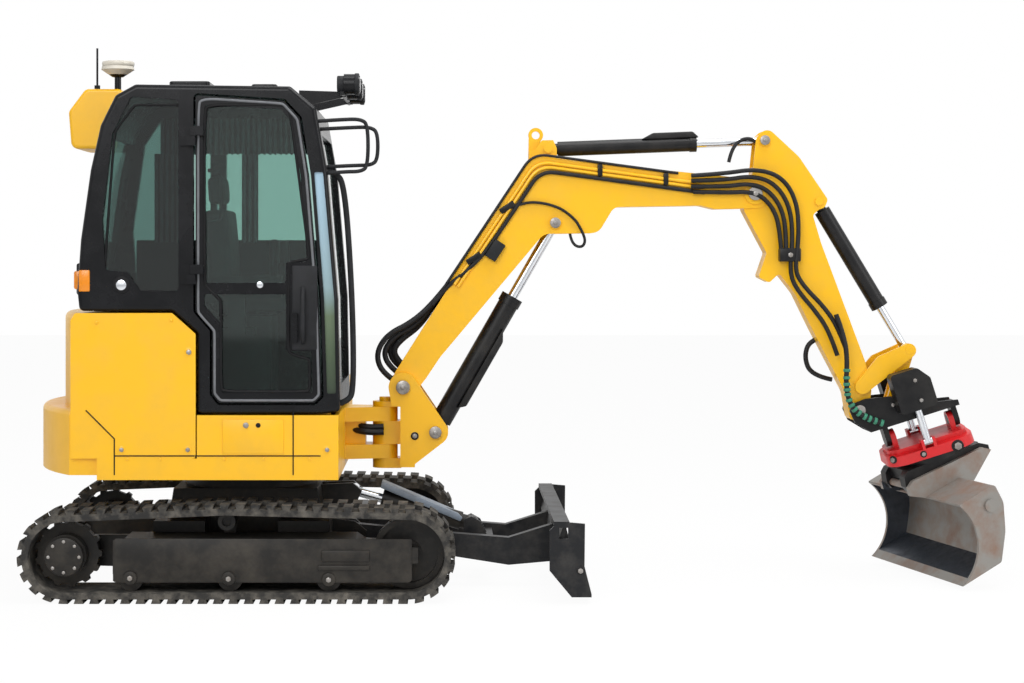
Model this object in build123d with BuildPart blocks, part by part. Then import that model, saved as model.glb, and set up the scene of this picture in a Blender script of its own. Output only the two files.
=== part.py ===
# Mini excavator with a closed cab, rubber tracks, dozer blade, tilting and turning
# tool head and grading bucket. Millimetres, +X towards the bucket, +Z up, ground at Z = 0.
# Side positions are written from the slewing axis, which lies at X = slew_x.

import os
from math import atan2, cos, degrees, hypot, radians, sin

from build123d import *

os.makedirs("parts", exist_ok=True)

# Main sizes
slew_x = -1305.558
fit = 0.4
swing_axis_u = 653
boom_rest_raise = 1.0
overall_width = 1550

# Tracks
track_width = 300
track_y = (overall_width - track_width) / 2
belt_thickness = 30
lug_height = 20
sprocket_u = -780
sprocket_z = 210
sprocket_reach = 210
idler_u = 780
idler_z = 215
idler_reach = 215
carrier_u = -50
carrier_z = 360
carrier_radius = 40
lug_count = 62
lug_root = 44
lug_slope = 72
lug_bar = 138
sprocket_radius = 140
sprocket_teeth = 13
tooth_length = 44
tooth_height = 14
hub_radius = 95
idler_radius = 162
idler_half = 45
roller_us = (-482, -30, 418)
roller_radius = 57
roller_half = 95
axle_radius = 22

# Track frame, distances across measured from the middle of the track
frame_half = 122
frame_wall = 12
frame_rear_u = -560
frame_front_u = 600
frame_low = 92
frame_channel = 174
frame_top = 290

# Car body and slewing ring
carbody_low = 190
carbody_top = 470
ring_radius = 330
deck_low = 552

# Dozer blade
blade_pivot = (520, 255)
blade_arm_y = 240
blade_arm_half = 28
blade_low = 30
blade_top = 372
blade_front_u = 1610
blade_back_u = 1430
blade_plate = 14
blade_cylinder_eye = (1075, 262)
chassis_eye = (498, 425)

# Deck and bodywork
deck_half = 700
deck_front_u = 461
deck_sill = 650
panel_gauge = 20
cab_low = 853
hood_top = 1313
ear_radius = 62
ear_low = (588, 656)
ear_high = (769, 838)
swing_pin_radius = 28
cab_mount_us = (-100, 390)
cab_mount_ys = (-600, 190)

# Cab
cab_near = -700
cab_edge = 22
cab_far = 280
cab_wall = 42
glass_gauge = 6

# Boom
boom_foot = (743, 936)
boom_half = 72
boom_plate = 9
boom_cylinder_base = (900, 718)
boom_rod_pin = (1497, 1720)
stick_cylinder_base = (1469, 2082)
lift_eye = (1412, 2152)
lift_eye_radius = 19.5
boom_tip = (2471, 1846)

# Stick and bucket linkage
stick_half = 62.6
stick_plate = 8
stick_rod_pin = (2524, 2104)
bucket_cylinder_base = (2783, 1803)
rocker_pivot = (2977, 898)
rocker_end = (3206, 1070)
stick_end = (2958, 784)
link_end = (3125, 806)

# Tool head
head_lean = 16.5
tilt_rest = 6
rotor_rest = 15
tilt_origin = (275, -182)
bucket_half = 450
edge_low = -662
edge_front = -262
roof_front = (-140, -288)
roof_rear = (60, -256)
bucket_back = (80, -355)
bucket_gauge = 16


def at(u, z):
    return (slew_x + u, z)


def arm(u, z):
    turn = radians(boom_rest_raise)
    du = u - boom_foot[0]
    dz = z - boom_foot[1]
    x = slew_x + boom_foot[0] + du * cos(turn) - dz * sin(turn)
    return (x, boom_foot[1] + du * sin(turn) + dz * cos(turn))


def body_points(points):
    return [at(u, z) for u, z in points]


def arm_points(points):
    return [arm(u, z) for u, z in points]


def plate(points, y_low, y_high, rounding=0):
    with BuildPart() as slab:
        with BuildSketch(Plane.XZ.offset(-y_high)) as face:
            with BuildLine():
                Polyline(*points, close=True)
            make_face()
            if rounding:
                fillet(face.vertices(), rounding)
        extrude(amount=y_high - y_low)
    return slab.part


def disc(centre, radius, y_low, y_high):
    with BuildPart() as round_bar:
        with BuildSketch(Plane.XZ.offset(-y_high)):
            with Locations(centre):
                Circle(radius)
        extrude(amount=y_high - y_low)
    return round_bar.part


def block(u_range, y_range, z_range):
    with BuildPart() as cuboid:
        middle = (
            slew_x + sum(u_range) / 2,
            sum(y_range) / 2,
            sum(z_range) / 2,
        )
        with Locations(middle):
            Box(u_range[1] - u_range[0], y_range[1] - y_range[0], z_range[1] - z_range[0])
    return cuboid.part


def line_plane(start, end):
    return Plane(
        origin=(start[0], 0, start[1]),
        x_dir=(0, 1, 0),
        z_dir=(end[0] - start[0], 0, end[1] - start[1]),
    )


def span(start, end):
    return hypot(end[0] - start[0], end[1] - start[1])


def barrel(base, rod_end, length, radius, bore, eye_radius, eye_half, pin):
    axis = line_plane(base, rod_end)
    start = eye_radius + 12
    gland = radius * 0.9
    with BuildPart() as tube:
        with BuildSketch(axis):
            Circle(min(eye_half * 0.9, radius))
        extrude(amount=start + 4)
        with BuildSketch(axis.offset(start)):
            Circle(radius)
        extrude(amount=length - start)
        with BuildSketch(axis.offset(length - gland)):
            Circle(radius * 1.1)
        extrude(amount=gland)
        add(disc(base, eye_radius, -eye_half, eye_half))
        with BuildSketch(axis.offset(start + 6)):
            Circle(bore + fit)
        extrude(amount=length, mode=Mode.SUBTRACT)
        add(disc(base, pin + fit, -eye_half, eye_half), mode=Mode.SUBTRACT)
    return tube.part


def rod(base, rod_end, inner, radius, eye_radius, eye_half, pin):
    axis = line_plane(base, rod_end)
    reach = span(base, rod_end)
    with BuildPart() as bar:
        with BuildSketch(axis.offset(inner)):
            Circle(radius)
        extrude(amount=reach - inner - eye_radius * 0.6)
        add(disc(rod_end, eye_radius, -eye_half, eye_half))
        add(disc(rod_end, pin, -eye_half, eye_half), mode=Mode.SUBTRACT)
    return bar.part


def loop_face(reduction, side):
    with BuildSketch(Plane.XZ.offset(-side)) as loop:
        with Locations(at(sprocket_u, sprocket_z)):
            Circle(sprocket_reach - reduction)
        with Locations(at(idler_u, idler_z)):
            Circle(idler_reach - reduction)
        with Locations(at(carrier_u, carrier_z)):
            Circle(carrier_radius + belt_thickness + lug_height - reduction)
        make_hull()
    return loop.sketch


def lug_bars(y_low, y_high, shift):
    wire = loop_face(lug_height, 0).face().outer_wire()
    with BuildPart() as bars:
        with BuildSketch(Plane.XZ.offset(-y_high)):
            for index in range(lug_count):
                place = (index + shift) / lug_count
                spot = wire.position_at(place)
                along = wire.tangent_at(place)
                turn = degrees(atan2(along.Z, along.X))
                middle = Location((spot.X, spot.Z, 0), (0, 0, turn))
                with Locations(middle):
                    Trapezoid(lug_root, 2 * lug_height, lug_slope, align=(Align.CENTER, Align.CENTER))
        extrude(amount=y_high - y_low)
    return bars.part


def track(middle):
    with BuildPart() as belt:
        extrude(loop_face(lug_height, middle), track_width / 2, both=True)
        add(lug_bars(middle - track_width / 2, middle - track_width / 2 + lug_bar, 0))
        add(lug_bars(middle + track_width / 2 - lug_bar, middle + track_width / 2, 0.5))
        extrude(loop_face(0, middle), track_width, both=True, mode=Mode.INTERSECT)
        inside = loop_face(lug_height + belt_thickness, middle)
        extrude(inside, track_width, both=True, mode=Mode.SUBTRACT)
    return belt.part


def far_copy(piece):
    return mirror(piece, about=Plane.XZ)


# Tracks
track_near = track(-track_y)
track_far = far_copy(track_near)

# Track frame: a box beam over open roller channels, a motor plate and an idler yoke
frame_out = -track_y - frame_half
frame_in = -track_y + frame_half
beam_outline = [
    (frame_rear_u, frame_top - 60),
    (frame_rear_u + 50, frame_top),
    (frame_front_u - 60, frame_top),
    (frame_front_u, frame_top - 40),
    (frame_front_u, 150),
    (frame_front_u - 90, frame_low),
    (frame_rear_u + 40, frame_low),
    (frame_rear_u, frame_low + 40),
]
motor_arm = [
    (sprocket_u - 60, sprocket_z - 70),
    (sprocket_u - 60, sprocket_z + 70),
    (frame_rear_u + 60, frame_top - 10),
    (frame_rear_u + 60, frame_low + 40),
]
yoke_outline = [
    (frame_front_u - 40, 165),
    (frame_front_u - 40, 265),
    (idler_u + 45, 250),
    (idler_u + 45, 180),
]
with BuildPart() as track_frame_near:
    add(plate(body_points(beam_outline), frame_out, frame_in))
    add(
        block(
            (frame_rear_u + 20, frame_front_u + 20),
            (frame_out + frame_wall, frame_in - frame_wall),
            (frame_low - 10, frame_channel),
        ),
        mode=Mode.SUBTRACT,
    )
    add(
        block(
            (frame_rear_u + 30, frame_front_u - 70),
            (frame_out + frame_wall, frame_in + 10),
            (frame_channel + frame_wall, frame_top - frame_wall),
        ),
        mode=Mode.SUBTRACT,
    )
    add(plate(body_points(motor_arm), frame_in - 26, frame_in))
    add(plate(body_points(yoke_outline), frame_out, frame_in))
    add(
        block(
            (frame_front_u + 8, idler_u + 80),
            (-track_y - idler_half - 10, -track_y + idler_half + 10),
            (100, 300),
        ),
        mode=Mode.SUBTRACT,
    )
    add(block((carrier_u - 28, carrier_u + 28), (frame_in - 26, frame_in), (frame_top - 20, carrier_z + 26)))
    add(disc(at(carrier_u, carrier_z), axle_radius, frame_in - 160, frame_in - 20))
track_frame_near = track_frame_near.part
track_frame_far = far_copy(track_frame_near)

# Drive sprocket with its motor hub
with BuildPart() as sprocket_near:
    add(disc(at(sprocket_u, sprocket_z), sprocket_radius, -track_y - 22, -track_y + 22))
    with BuildSketch(Plane.XZ.offset(track_y - 20)):
        with Locations(at(sprocket_u, sprocket_z)):
            with PolarLocations(sprocket_radius, sprocket_teeth):
                Trapezoid(tooth_length, 2 * tooth_height, 70, rotation=-90)
    extrude(amount=40)
    add(disc(at(sprocket_u, sprocket_z), hub_radius, -track_y - 95, frame_in - 26))
    add(disc(at(sprocket_u, sprocket_z), hub_radius - 22, frame_out - 6, -track_y))
sprocket_near = sprocket_near.part
sprocket_far = far_copy(sprocket_near)

# Idler wheel with a raised centre rib between two rims
with BuildPart() as idler_near:
    add(disc(at(idler_u, idler_z), idler_radius, -track_y - idler_half, -track_y + idler_half))
    for side in (-1, 1):
        rim = track_y + side * idler_half
        with BuildSketch(Plane.XZ.offset(rim)):
            with Locations(at(idler_u, idler_z)):
                Circle(idler_radius - 26)
                Circle(58, mode=Mode.SUBTRACT)
        extrude(amount=-side * 22, mode=Mode.SUBTRACT)
    add(disc(at(idler_u, idler_z), 30, -track_y - idler_half - 10, -track_y + idler_half + 10))
idler_near = idler_near.part
idler_far = far_copy(idler_near)

# Three double-flanged bottom rollers and one top roller
with BuildPart() as rollers_near:
    for roller_u in roller_us:
        spot = at(roller_u, belt_thickness + lug_height + roller_radius)
        add(disc(spot, roller_radius - 14, -track_y - roller_half, -track_y + roller_half))
        add(disc(spot, roller_radius, -track_y - roller_half, -track_y - roller_half + 70))
        add(disc(spot, roller_radius, -track_y + roller_half - 70, -track_y + roller_half))
        add(disc(spot, axle_radius, frame_out + frame_wall, frame_in - frame_wall))
    top = at(carrier_u, carrier_z)
    add(disc(top, carrier_radius, -track_y - 60, -track_y + 60))
    add(disc(top, axle_radius, -track_y - 70, frame_in - 20), mode=Mode.SUBTRACT)
rollers_near = rollers_near.part
rollers_far = far_copy(rollers_near)

# Car body: four legs that meet under the slewing ring
leg_outer = 430
leg_root = 150
frame_face = track_y - frame_half
chassis_ear = [
    (300, 330),
    (300, 458),
    (chassis_eye[0], 468),
    (542, 430),
    (520, 380),
    (400, 330),
]
with BuildPart() as carbody:
    with BuildSketch(Plane.XY.offset(carbody_low)):
        with Locations((slew_x, 0)):
            Rectangle(2 * leg_outer - 120, 2 * ring_radius)
            for corner in (-1, 1):
                with Locations((corner * 290, 0)):
                    Rectangle(240, 2 * frame_face)
    extrude(amount=leg_root)
    with BuildSketch(Plane.XY.offset(carbody_low + leg_root)):
        with Locations((slew_x, 0)):
            Rectangle(2 * ring_radius + 60, 2 * ring_radius)
    extrude(amount=carbody_top - carbody_low - leg_root, taper=8)
    with BuildSketch(Plane.XY.offset(carbody_low)):
        with Locations((slew_x, 0)):
            Rectangle(2 * ring_radius - 40, 2 * ring_radius - 40)
    extrude(amount=carbody_top - carbody_low - 40, mode=Mode.SUBTRACT)
    for side in (-1, 1):
        lug_y = side * blade_arm_y
        for face in (-1, 1):
            cheek = lug_y + face * (blade_arm_half + 12.4)
            add(
                plate(
                    body_points([(380, 190), (380, 330), (blade_pivot[0], 310), (575, 265), (560, 205)]),
                    cheek - 12,
                    cheek + 12,
                )
            )
        add(disc(at(*blade_pivot), 22, lug_y - blade_arm_half - 26, lug_y + blade_arm_half + 26))
    for face in (-1, 1):
        cheek = face * 52
        add(
            plate(
                body_points(chassis_ear),
                cheek - 12,
                cheek + 12,
            )
        )
carbody = carbody.part

with BuildPart() as slew_ring:
    with BuildSketch(Plane.XY.offset(carbody_top)):
        with Locations((slew_x, 0)):
            Circle(ring_radius - 10)
            Circle(ring_radius - 110, mode=Mode.SUBTRACT)
    extrude(amount=deck_low - carbody_top - fit)
slew_ring = slew_ring.part

# Dozer blade: curved mouldboard, end plates, box beam on top and two arms
blade_half = overall_width / 2
mould_outline = [
    (blade_back_u + 60, blade_top),
    (blade_back_u + 20, 250),
    (blade_back_u + 30, 140),
    (blade_back_u + 110, blade_low + 20),
    (blade_front_u, blade_low),
    (blade_front_u, blade_low + 12),
    (blade_back_u + 120, blade_low + 48),
    (blade_back_u + 52, 150),
    (blade_back_u + 42, 250),
    (blade_back_u + 78, blade_top),
]
end_outline = [
    (blade_back_u - 10, blade_top - 40),
    (blade_back_u + 30, blade_top),
    (blade_back_u + 150, blade_top - 10),
    (blade_back_u + 148, 170),
    (blade_front_u, blade_low + 14),
    (blade_front_u, blade_low),
    (blade_back_u + 90, blade_low),
    (blade_back_u - 10, 150),
]
arm_outline = [
    (blade_pivot[0] - 34, 225),
    (blade_pivot[0] - 34, 285),
    (blade_pivot[0], 297),
    (1000, 250),
    (1250, 230),
    (blade_back_u + 45, 300),
    (blade_back_u + 45, 120),
    (1250, 100),
    (900, 155),
    (blade_pivot[0], 213),
]
blade_ear = [
    (1036, 235),
    (1042, 290),
    (blade_cylinder_eye[0], 305),
    (1120, 280),
    (1180, 150),
    (1120, 140),
]
with BuildPart() as blade:
    add(plate(body_points(mould_outline), -blade_half, blade_half))
    for side in (-1, 1):
        edge = side * (blade_half - blade_plate / 2)
        add(plate(body_points(end_outline), edge - blade_plate / 2, edge + blade_plate / 2))
        arm_mid = side * blade_arm_y
        add(plate(body_points(arm_outline), arm_mid - blade_arm_half, arm_mid + blade_arm_half))
        eye = disc(at(*blade_pivot), 22 + fit, arm_mid - 40, arm_mid + 40)
        add(eye, mode=Mode.SUBTRACT)
        tie = block(
            (blade_back_u + 34, blade_back_u + 74),
            (edge - 20, edge + 20),
            (blade_top - 78, blade_top - 28),
        )
        add(tie, mode=Mode.SUBTRACT)
    add(block((blade_back_u + 10, blade_back_u + 80), (-blade_half, blade_half), (blade_top - 22, blade_top)))
    add(block((1120, 1180), (-blade_arm_y, blade_arm_y), (130, 215)))
    for face in (-1, 1):
        cheek = face * 52
        add(
            plate(
                body_points(blade_ear),
                cheek - 12,
                cheek + 12,
            )
        )
    add(disc(at(*blade_cylinder_eye), 20, -64, 64))
blade = blade.part

# Blade cylinder with its barrel on the blade and its rod on the car body
blade_stroke_base = at(*blade_cylinder_eye)
blade_stroke_end = at(*chassis_eye)
blade_cylinder = barrel(blade_stroke_base, blade_stroke_end, 455, 44, 23, 40, 39.6, 20)
blade_rod = rod(blade_stroke_base, blade_stroke_end, 150, 22.6, 34, 39.6, 21)

# Deck: an open tray with a bulkhead and two forward ears for the swing pin
def ear(z_range):
    with BuildPart() as lug:
        with BuildSketch(Plane.XY.offset(z_range[0])):
            with Locations((slew_x + swing_axis_u, 0)):
                Circle(ear_radius)
            with Locations((slew_x + deck_front_u - 25, 0)):
                Rectangle(50, 220)
            make_hull()
        extrude(amount=z_range[1] - z_range[0])
    return lug.part


def upright(u, y, radius, z_range):
    with BuildPart() as post:
        with BuildSketch(Plane.XY.offset(z_range[0])):
            with Locations((slew_x + u, y)):
                Circle(radius)
        extrude(amount=z_range[1] - z_range[0])
    return post.part


with BuildPart() as deck:
    add(block((-640, deck_front_u), (-deck_half, deck_half), (deck_low, deck_sill)))
    add(
        block((-620, deck_front_u - 36), (-deck_half + 20, deck_half - 20), (deck_low + 25, deck_sill + 10)),
        mode=Mode.SUBTRACT,
    )
    add(block((deck_front_u - 36, deck_front_u), (-230, 230), (deck_low + 25, ear_high[1])))
    add(ear(ear_low))
    add(ear(ear_high))
    add(block((deck_front_u - 20, 560), (-60, 60), (ear_low[1] - 10, ear_high[0] + 10)))
    for mount_u in cab_mount_us:
        for mount_y in cab_mount_ys:
            add(upright(mount_u, mount_y, 32, (deck_low + 10, cab_low)))
    bore = upright(swing_axis_u, 0, swing_pin_radius + fit, (deck_low, ear_high[1] + 10))
    add(bore, mode=Mode.SUBTRACT)
deck = deck.part


def tail_slab(front_u, corner_u, corner_y, middle_u, z_range):
    with BuildPart() as slab:
        with BuildSketch(Plane.XY.offset(z_range[0])):
            with BuildLine():
                Polyline(
                    (slew_x + corner_u, -corner_y),
                    (slew_x + front_u, -corner_y),
                    (slew_x + front_u, corner_y),
                    (slew_x + corner_u, corner_y),
                )
                ThreePointArc(
                    (slew_x + corner_u, corner_y),
                    (slew_x + middle_u, 0),
                    (slew_x + corner_u, -corner_y),
                )
            make_face()
        extrude(amount=z_range[1] - z_range[0])
    return slab.part


# Counterweight and engine hood share one rounded tail
tail_top = 872
with BuildPart() as counterweight:
    add(tail_slab(-640, -770, 678, -1000, (572, tail_top)))
    edges = counterweight.edges().group_by(Axis.Z)
    fillet(edges[-1], 26)
counterweight = counterweight.part

with BuildPart() as rear_hood:
    add(tail_slab(-300, -735, 676, -885, (tail_top, hood_top)))
    fillet(rear_hood.faces().sort_by(Axis.Z)[-1].edges().filter_by(Axis.Y, reverse=True), 30)
    add(tail_slab(-320, -722, 656, -862, (tail_top - 10, hood_top - panel_gauge)), mode=Mode.SUBTRACT)
rear_hood = rear_hood.part

with BuildPart() as engine_block:
    add(block((-612, -330), (-280, 380), (deck_low + 25, 1150)))
engine_block = engine_block.part

# Near side: rear access panel and sill panel under the door
access_outline = [
    (-760, deck_sill),
    (-760, hood_top - 34),
    (-740, hood_top),
    (-297, hood_top),
    (-190, hood_top - 95),
    (-190, deck_sill),
]
with BuildPart() as access_panel:
    add(plate(body_points(access_outline), -deck_half, -deck_half + panel_gauge))
    fillet(access_panel.edges().filter_by(Axis.Y), 12)
access_panel = access_panel.part

with BuildPart() as sill_panel:
    add(block((-184, deck_front_u), (-deck_half, -deck_half + panel_gauge), (deck_sill, cab_low - 6)))
    add(block((deck_front_u - 20, deck_front_u), (-deck_half + 20, -232), (deck_sill, cab_low - 6)))
    fillet(sill_panel.edges().filter_by(Axis.Z).sort_by(Axis.X)[-1], 15)
sill_panel = sill_panel.part

# Far side body over the tank and valves
far_outline = [
    (-298, deck_sill),
    (-298, hood_top),
    (60, hood_top - 20),
    (330, 1130),
    (deck_front_u, 930),
    (deck_front_u, deck_sill),
]
with BuildPart() as far_body:
    add(plate(body_points(far_outline), 288, deck_half, 10))
    inner = [
        (-278, deck_sill - 30),
        (-278, hood_top - panel_gauge),
        (52, hood_top - panel_gauge - 20),
        (312, 1118),
        (deck_front_u - panel_gauge, 922),
        (deck_front_u - panel_gauge, deck_sill - 30),
    ]
    add(plate(body_points(inner), 288 + panel_gauge, deck_half - panel_gauge), mode=Mode.SUBTRACT)
far_body = far_body.part

# Cab shell from one side profile
cab_outline = [
    (-722, 1322),
    (-297, 1322),
    (-183, 1222),
    (-183, cab_low),
    (386, cab_low),
    (468, 862),
    (459, 1373),
    (409, 1965),
    (359, 2248),
    (241, 2348),
    (-466, 2357),
    (-557, 2307),
    (-625, 2170),
    (-671, 1965),
    (-716, 1646),
    (-732, 1418),
]
cab_rounding = 24


def cab_slab(inset, y_low, y_high):
    with BuildPart() as slab:
        with BuildSketch(Plane.XZ.offset(-y_high)) as face:
            with BuildLine():
                Polyline(*body_points(cab_outline), close=True)
            make_face()
            fillet(face.vertices(), cab_rounding)
            if inset:
                offset(amount=-inset, mode=Mode.REPLACE, kind=Kind.INTERSECTION)
        extrude(amount=y_high - y_low)
    return slab.part


def cab_ring(u_range, z_range):
    with BuildPart() as ring:
        add(cab_slab(0, cab_near + cab_wall, cab_far - cab_wall))
        add(cab_slab(cab_wall, cab_near, cab_far), mode=Mode.SUBTRACT)
        add(block(u_range, (cab_near, cab_far), z_range), mode=Mode.INTERSECT)
    return ring.part


roof_line = 2190
shelf_line = 1400
front_line = 300
screen_y = (-600, 180)
screen_z = (980, 2130)
rear_y = (-560, 140)
rear_z = (1640, 2120)

with BuildPart() as cab_roof:
    add(cab_ring((-800, 600), (roof_line, 2500)))
cab_roof = cab_roof.part

with BuildPart() as cab_front:
    add(cab_ring((front_line, 600), (900, roof_line)))
    add(block((front_line - 10, 600), screen_y, screen_z), mode=Mode.SUBTRACT)
cab_front = cab_front.part

with BuildPart() as cab_rear:
    add(cab_ring((-800, -500), (shelf_line, roof_line)))
    add(block((-800, -500), rear_y, rear_z), mode=Mode.SUBTRACT)
cab_rear = cab_rear.part

with BuildPart() as cab_floor:
    add(cab_ring((-800, front_line), (800, shelf_line)))
    add(cab_ring((front_line, 600), (800, 900)))
cab_floor = cab_floor.part


def cab_pane(y_range, u_range, z_range):
    with BuildPart() as pane:
        add(cab_slab(18, y_range[0] + 0.3, y_range[1] - 0.3))
        add(cab_slab(18 + glass_gauge, cab_near, cab_far), mode=Mode.SUBTRACT)
        limits = (z_range[0] + 0.3, z_range[1] - 0.3)
        add(block(u_range, (cab_near, cab_far), limits), mode=Mode.INTERSECT)
    return pane.part


windscreen = cab_pane(screen_y, (front_line, 600), screen_z)
rear_glass = cab_pane(rear_y, (-800, -500), rear_z)

# Door outline, hinged at its rear edge
door_outline = [
    (-190, 2306),
    (213, 2280),
    (285, 2202),
    (326, 1938),
    (371, 1382),
    (384, 935),
    (352, 903),
    (-83, 903),
    (-115, 944),
    (-115, 1236),
    (-168, 1296),
    (-190, 1323),
]
quarter_outline = [
    (-484, 2300),
    (-268, 2285),
    (-268, 1412),
    (-440, 1412),
    (-500, 1500),
    (-600, 1509),
    (-616, 1733),
    (-570, 2129),
]


def side_slab(points, y_low, y_high, rounding, inset):
    with BuildPart() as slab:
        with BuildSketch(Plane.XZ.offset(-y_high)) as face:
            with BuildLine():
                Polyline(*body_points(points), close=True)
            make_face()
            fillet(face.vertices(), rounding)
            if inset:
                offset(amount=-inset, mode=Mode.REPLACE)
        extrude(amount=y_high - y_low)
    return slab.part


strip_outline = [
    (350, 1956),
    (391, 1956),
    (442, 1373),
    (450, 945),
    (408, 945),
    (395, 1382),
]
strip_rounding = 8
with BuildPart() as cab_near_wall:
    add(cab_slab(0, cab_near, cab_near + cab_wall))
    fillet(cab_near_wall.faces().sort_by(Axis.Y)[0].edges(), cab_edge)
    add(side_slab(door_outline, cab_near - 10, cab_near + cab_wall + 10, 14, -10), mode=Mode.SUBTRACT)
    add(side_slab(quarter_outline, cab_near - 10, cab_near + cab_wall + 10, 20, 0), mode=Mode.SUBTRACT)
    strip_opening = side_slab(strip_outline, cab_near - 10, cab_near + cab_wall + 10, strip_rounding, 0)
    add(strip_opening, mode=Mode.SUBTRACT)
    for hinge_z in (1490, 2120):
        add(block((-262, -215), (-716, cab_near), (hinge_z - 45, hinge_z + 45)))
        add(block((-215 - 10, -199 + 12), (-742, -716), (hinge_z - 45, hinge_z - 1)))
        add(upright(-199, -729, 7, (hinge_z - 45, hinge_z + 45)))
cab_near_wall = cab_near_wall.part

glass_y = (cab_near + 12, cab_near + 12 + glass_gauge)
quarter_glass = side_slab(quarter_outline, *glass_y, 20, 0.3)
strip_glass = side_slab(strip_outline, *glass_y, strip_rounding, 0.3)

far_front_window = [
    (-150, 2250),
    (190, 2240),
    (270, 2170),
    (330, 1900),
    (370, 1400),
    (360, 1340),
    (-150, 1340),
]
far_rear_window = [
    (-480, 2250),
    (-230, 2250),
    (-230, 1420),
    (-600, 1420),
    (-620, 1700),
    (-560, 2130),
]
with BuildPart() as cab_far_wall:
    add(cab_slab(0, cab_far - cab_wall, cab_far))
    fillet(cab_far_wall.faces().sort_by(Axis.Y)[-1].edges(), cab_edge)
    for window in (far_front_window, far_rear_window):
        add(side_slab(window, cab_far - cab_wall - 10, cab_far + 10, 30, 0), mode=Mode.SUBTRACT)
cab_far_wall = cab_far_wall.part

with BuildPart() as far_glass:
    for window in (far_front_window, far_rear_window):
        add(side_slab(window, cab_far - 24, cab_far - 24 + glass_gauge, 30, 0.3))
far_glass = far_glass.part

door_upper_pane = [
    (-150, 2262),
    (200, 2242),
    (250, 2182),
    (290, 1930),
    (318, 1545),
    (222, 1545),
    (222, 1450),
    (-150, 1450),
]
door_lower_pane = [
    (-150, 1400),
    (222, 1400),
    (222, 1140),
    (338, 1140),
    (345, 950),
    (-72, 950),
    (-72, 1260),
    (-150, 1345),
]
door_low = cab_near
door_high = cab_near + cab_wall
with BuildPart() as door:
    add(side_slab(door_outline, door_low, door_high, 14, 0))
    for window in (door_upper_pane, door_lower_pane):
        add(side_slab(window, door_low - 10, door_high + 10, 12, 0), mode=Mode.SUBTRACT)
    for hinge_z in (1490, 2120):
        add(block((-180, -150), (-716, door_low), (hinge_z + 1, hinge_z + 44)))
        add(block((-211, -150), (-742, -716), (hinge_z + 1, hinge_z + 44)))
        add(upright(-199, -729, 7 + fit, (hinge_z - 10, hinge_z + 60)), mode=Mode.SUBTRACT)
    add(block((248, 276), (-724, door_low), (1300, 1312)))
    add(block((248, 276), (-724, door_low), (1180, 1192)))
    add(block((248, 276), (-730, -716), (1180, 1312)))
door = door.part

with BuildPart() as door_glass:
    for window in (door_upper_pane, door_lower_pane):
        add(side_slab(window, door_low + 14, door_low + 14 + glass_gauge, 12, 0.3))
door_glass = door_glass.part

# Seat on its box, side consoles with levers
seat_y = -210
cushion_half = 235
with BuildPart() as seat:
    add(block((-125, 305), (seat_y - cushion_half, seat_y + cushion_half), (1290, 1400)))
    back = [(-125, 1400), (-10, 1400), (-80, 1960), (-170, 1960), (-195, 1900)]
    add(plate(body_points(back), seat_y - cushion_half, seat_y + cushion_half))
seat = seat.part

with BuildPart() as seat_box:
    add(block((-138, 130), (seat_y - 200, seat_y + 200), (895, 1290)))
    for side in (-1, 1):
        middle = seat_y + side * 300
        add(block((-130, 190), (middle - 45, middle + 45), (1380, 1480)))
        add(block((-138, 60), (middle - 100 * side - 60, middle), (1200, 1240)) if side > 0 else
            block((-138, 60), (middle, middle + 160), (1200, 1240)))
        add(block((-60, 20), (middle - 30, middle + 30), (1210, 1400)))
        add(upright(150, middle, 18, (1470, 1640)))
seat_box = seat_box.part

# Rear cap over the roof: a rounded hood with air slots
cap_outline = [(-858, 2090), (-872, 2270), (-790, 2380), (-600, 2380), (-600, 2090)]
cap_side = (-150, 250)
slot_count = 5
slot_pitch = 34
with BuildPart() as rear_cap:
    add(plate(body_points(cap_outline), *cap_side, 36))
    fillet(rear_cap.faces().sort_by(Axis.Y)[0].edges(), 16)
    fillet(rear_cap.faces().sort_by(Axis.Y)[-1].edges(), 16)
    for index in range(slot_count):
        height = 2130 + index * slot_pitch
        slot = block((-900, -840), (cap_side[0] + 60, cap_side[1] - 60), (height, height + 14))
        add(slot, mode=Mode.SUBTRACT)
    add(cab_slab(0, -460, 260), mode=Mode.SUBTRACT)
rear_cap = rear_cap.part

# Roof gear: hatch and visor frame
with BuildPart() as roof_gear:
    add(block((-345, -155), (-450, 30), (2330, 2392)))
    add(block((40, 160), (-450, 30), (2300, 2378)))
    fillet(roof_gear.edges().filter_by(Axis.Z), 20)
    fillet(roof_gear.faces().filter_by(Axis.Z).group_by(Axis.Z)[-1].edges(), 8)
    fillet(roof_gear.faces().filter_by(Axis.Z).group_by(Axis.Z)[-2].edges(), 8)
    add(cab_slab(0, -460, 260), mode=Mode.SUBTRACT)
roof_gear = roof_gear.part

# Mast: dish antenna and whip on the cap
dish_u = -640
dish_y = -100
with BuildPart() as antennas:
    add(upright(dish_u, dish_y, 16, (2372, 2446)))
    with BuildSketch(Plane.XZ.offset(-dish_y)):
        with BuildLine():
            Polyline(
                (slew_x + dish_u, 2440),
                (slew_x + dish_u + 26, 2440),
                (slew_x + dish_u + 80, 2476),
                (slew_x + dish_u + 76, 2492),
                (slew_x + dish_u, 2498),
                close=True,
            )
        make_face()
    revolve(axis=Axis((slew_x + dish_u, dish_y, 0), (0, 0, 1)))
    add(upright(-740, dish_y, 14, (2372, 2400)))
    add(upright(-740, dish_y, 5, (2395, 2580)))
    add(rear_cap, mode=Mode.SUBTRACT)
antennas = antennas.part

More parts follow.
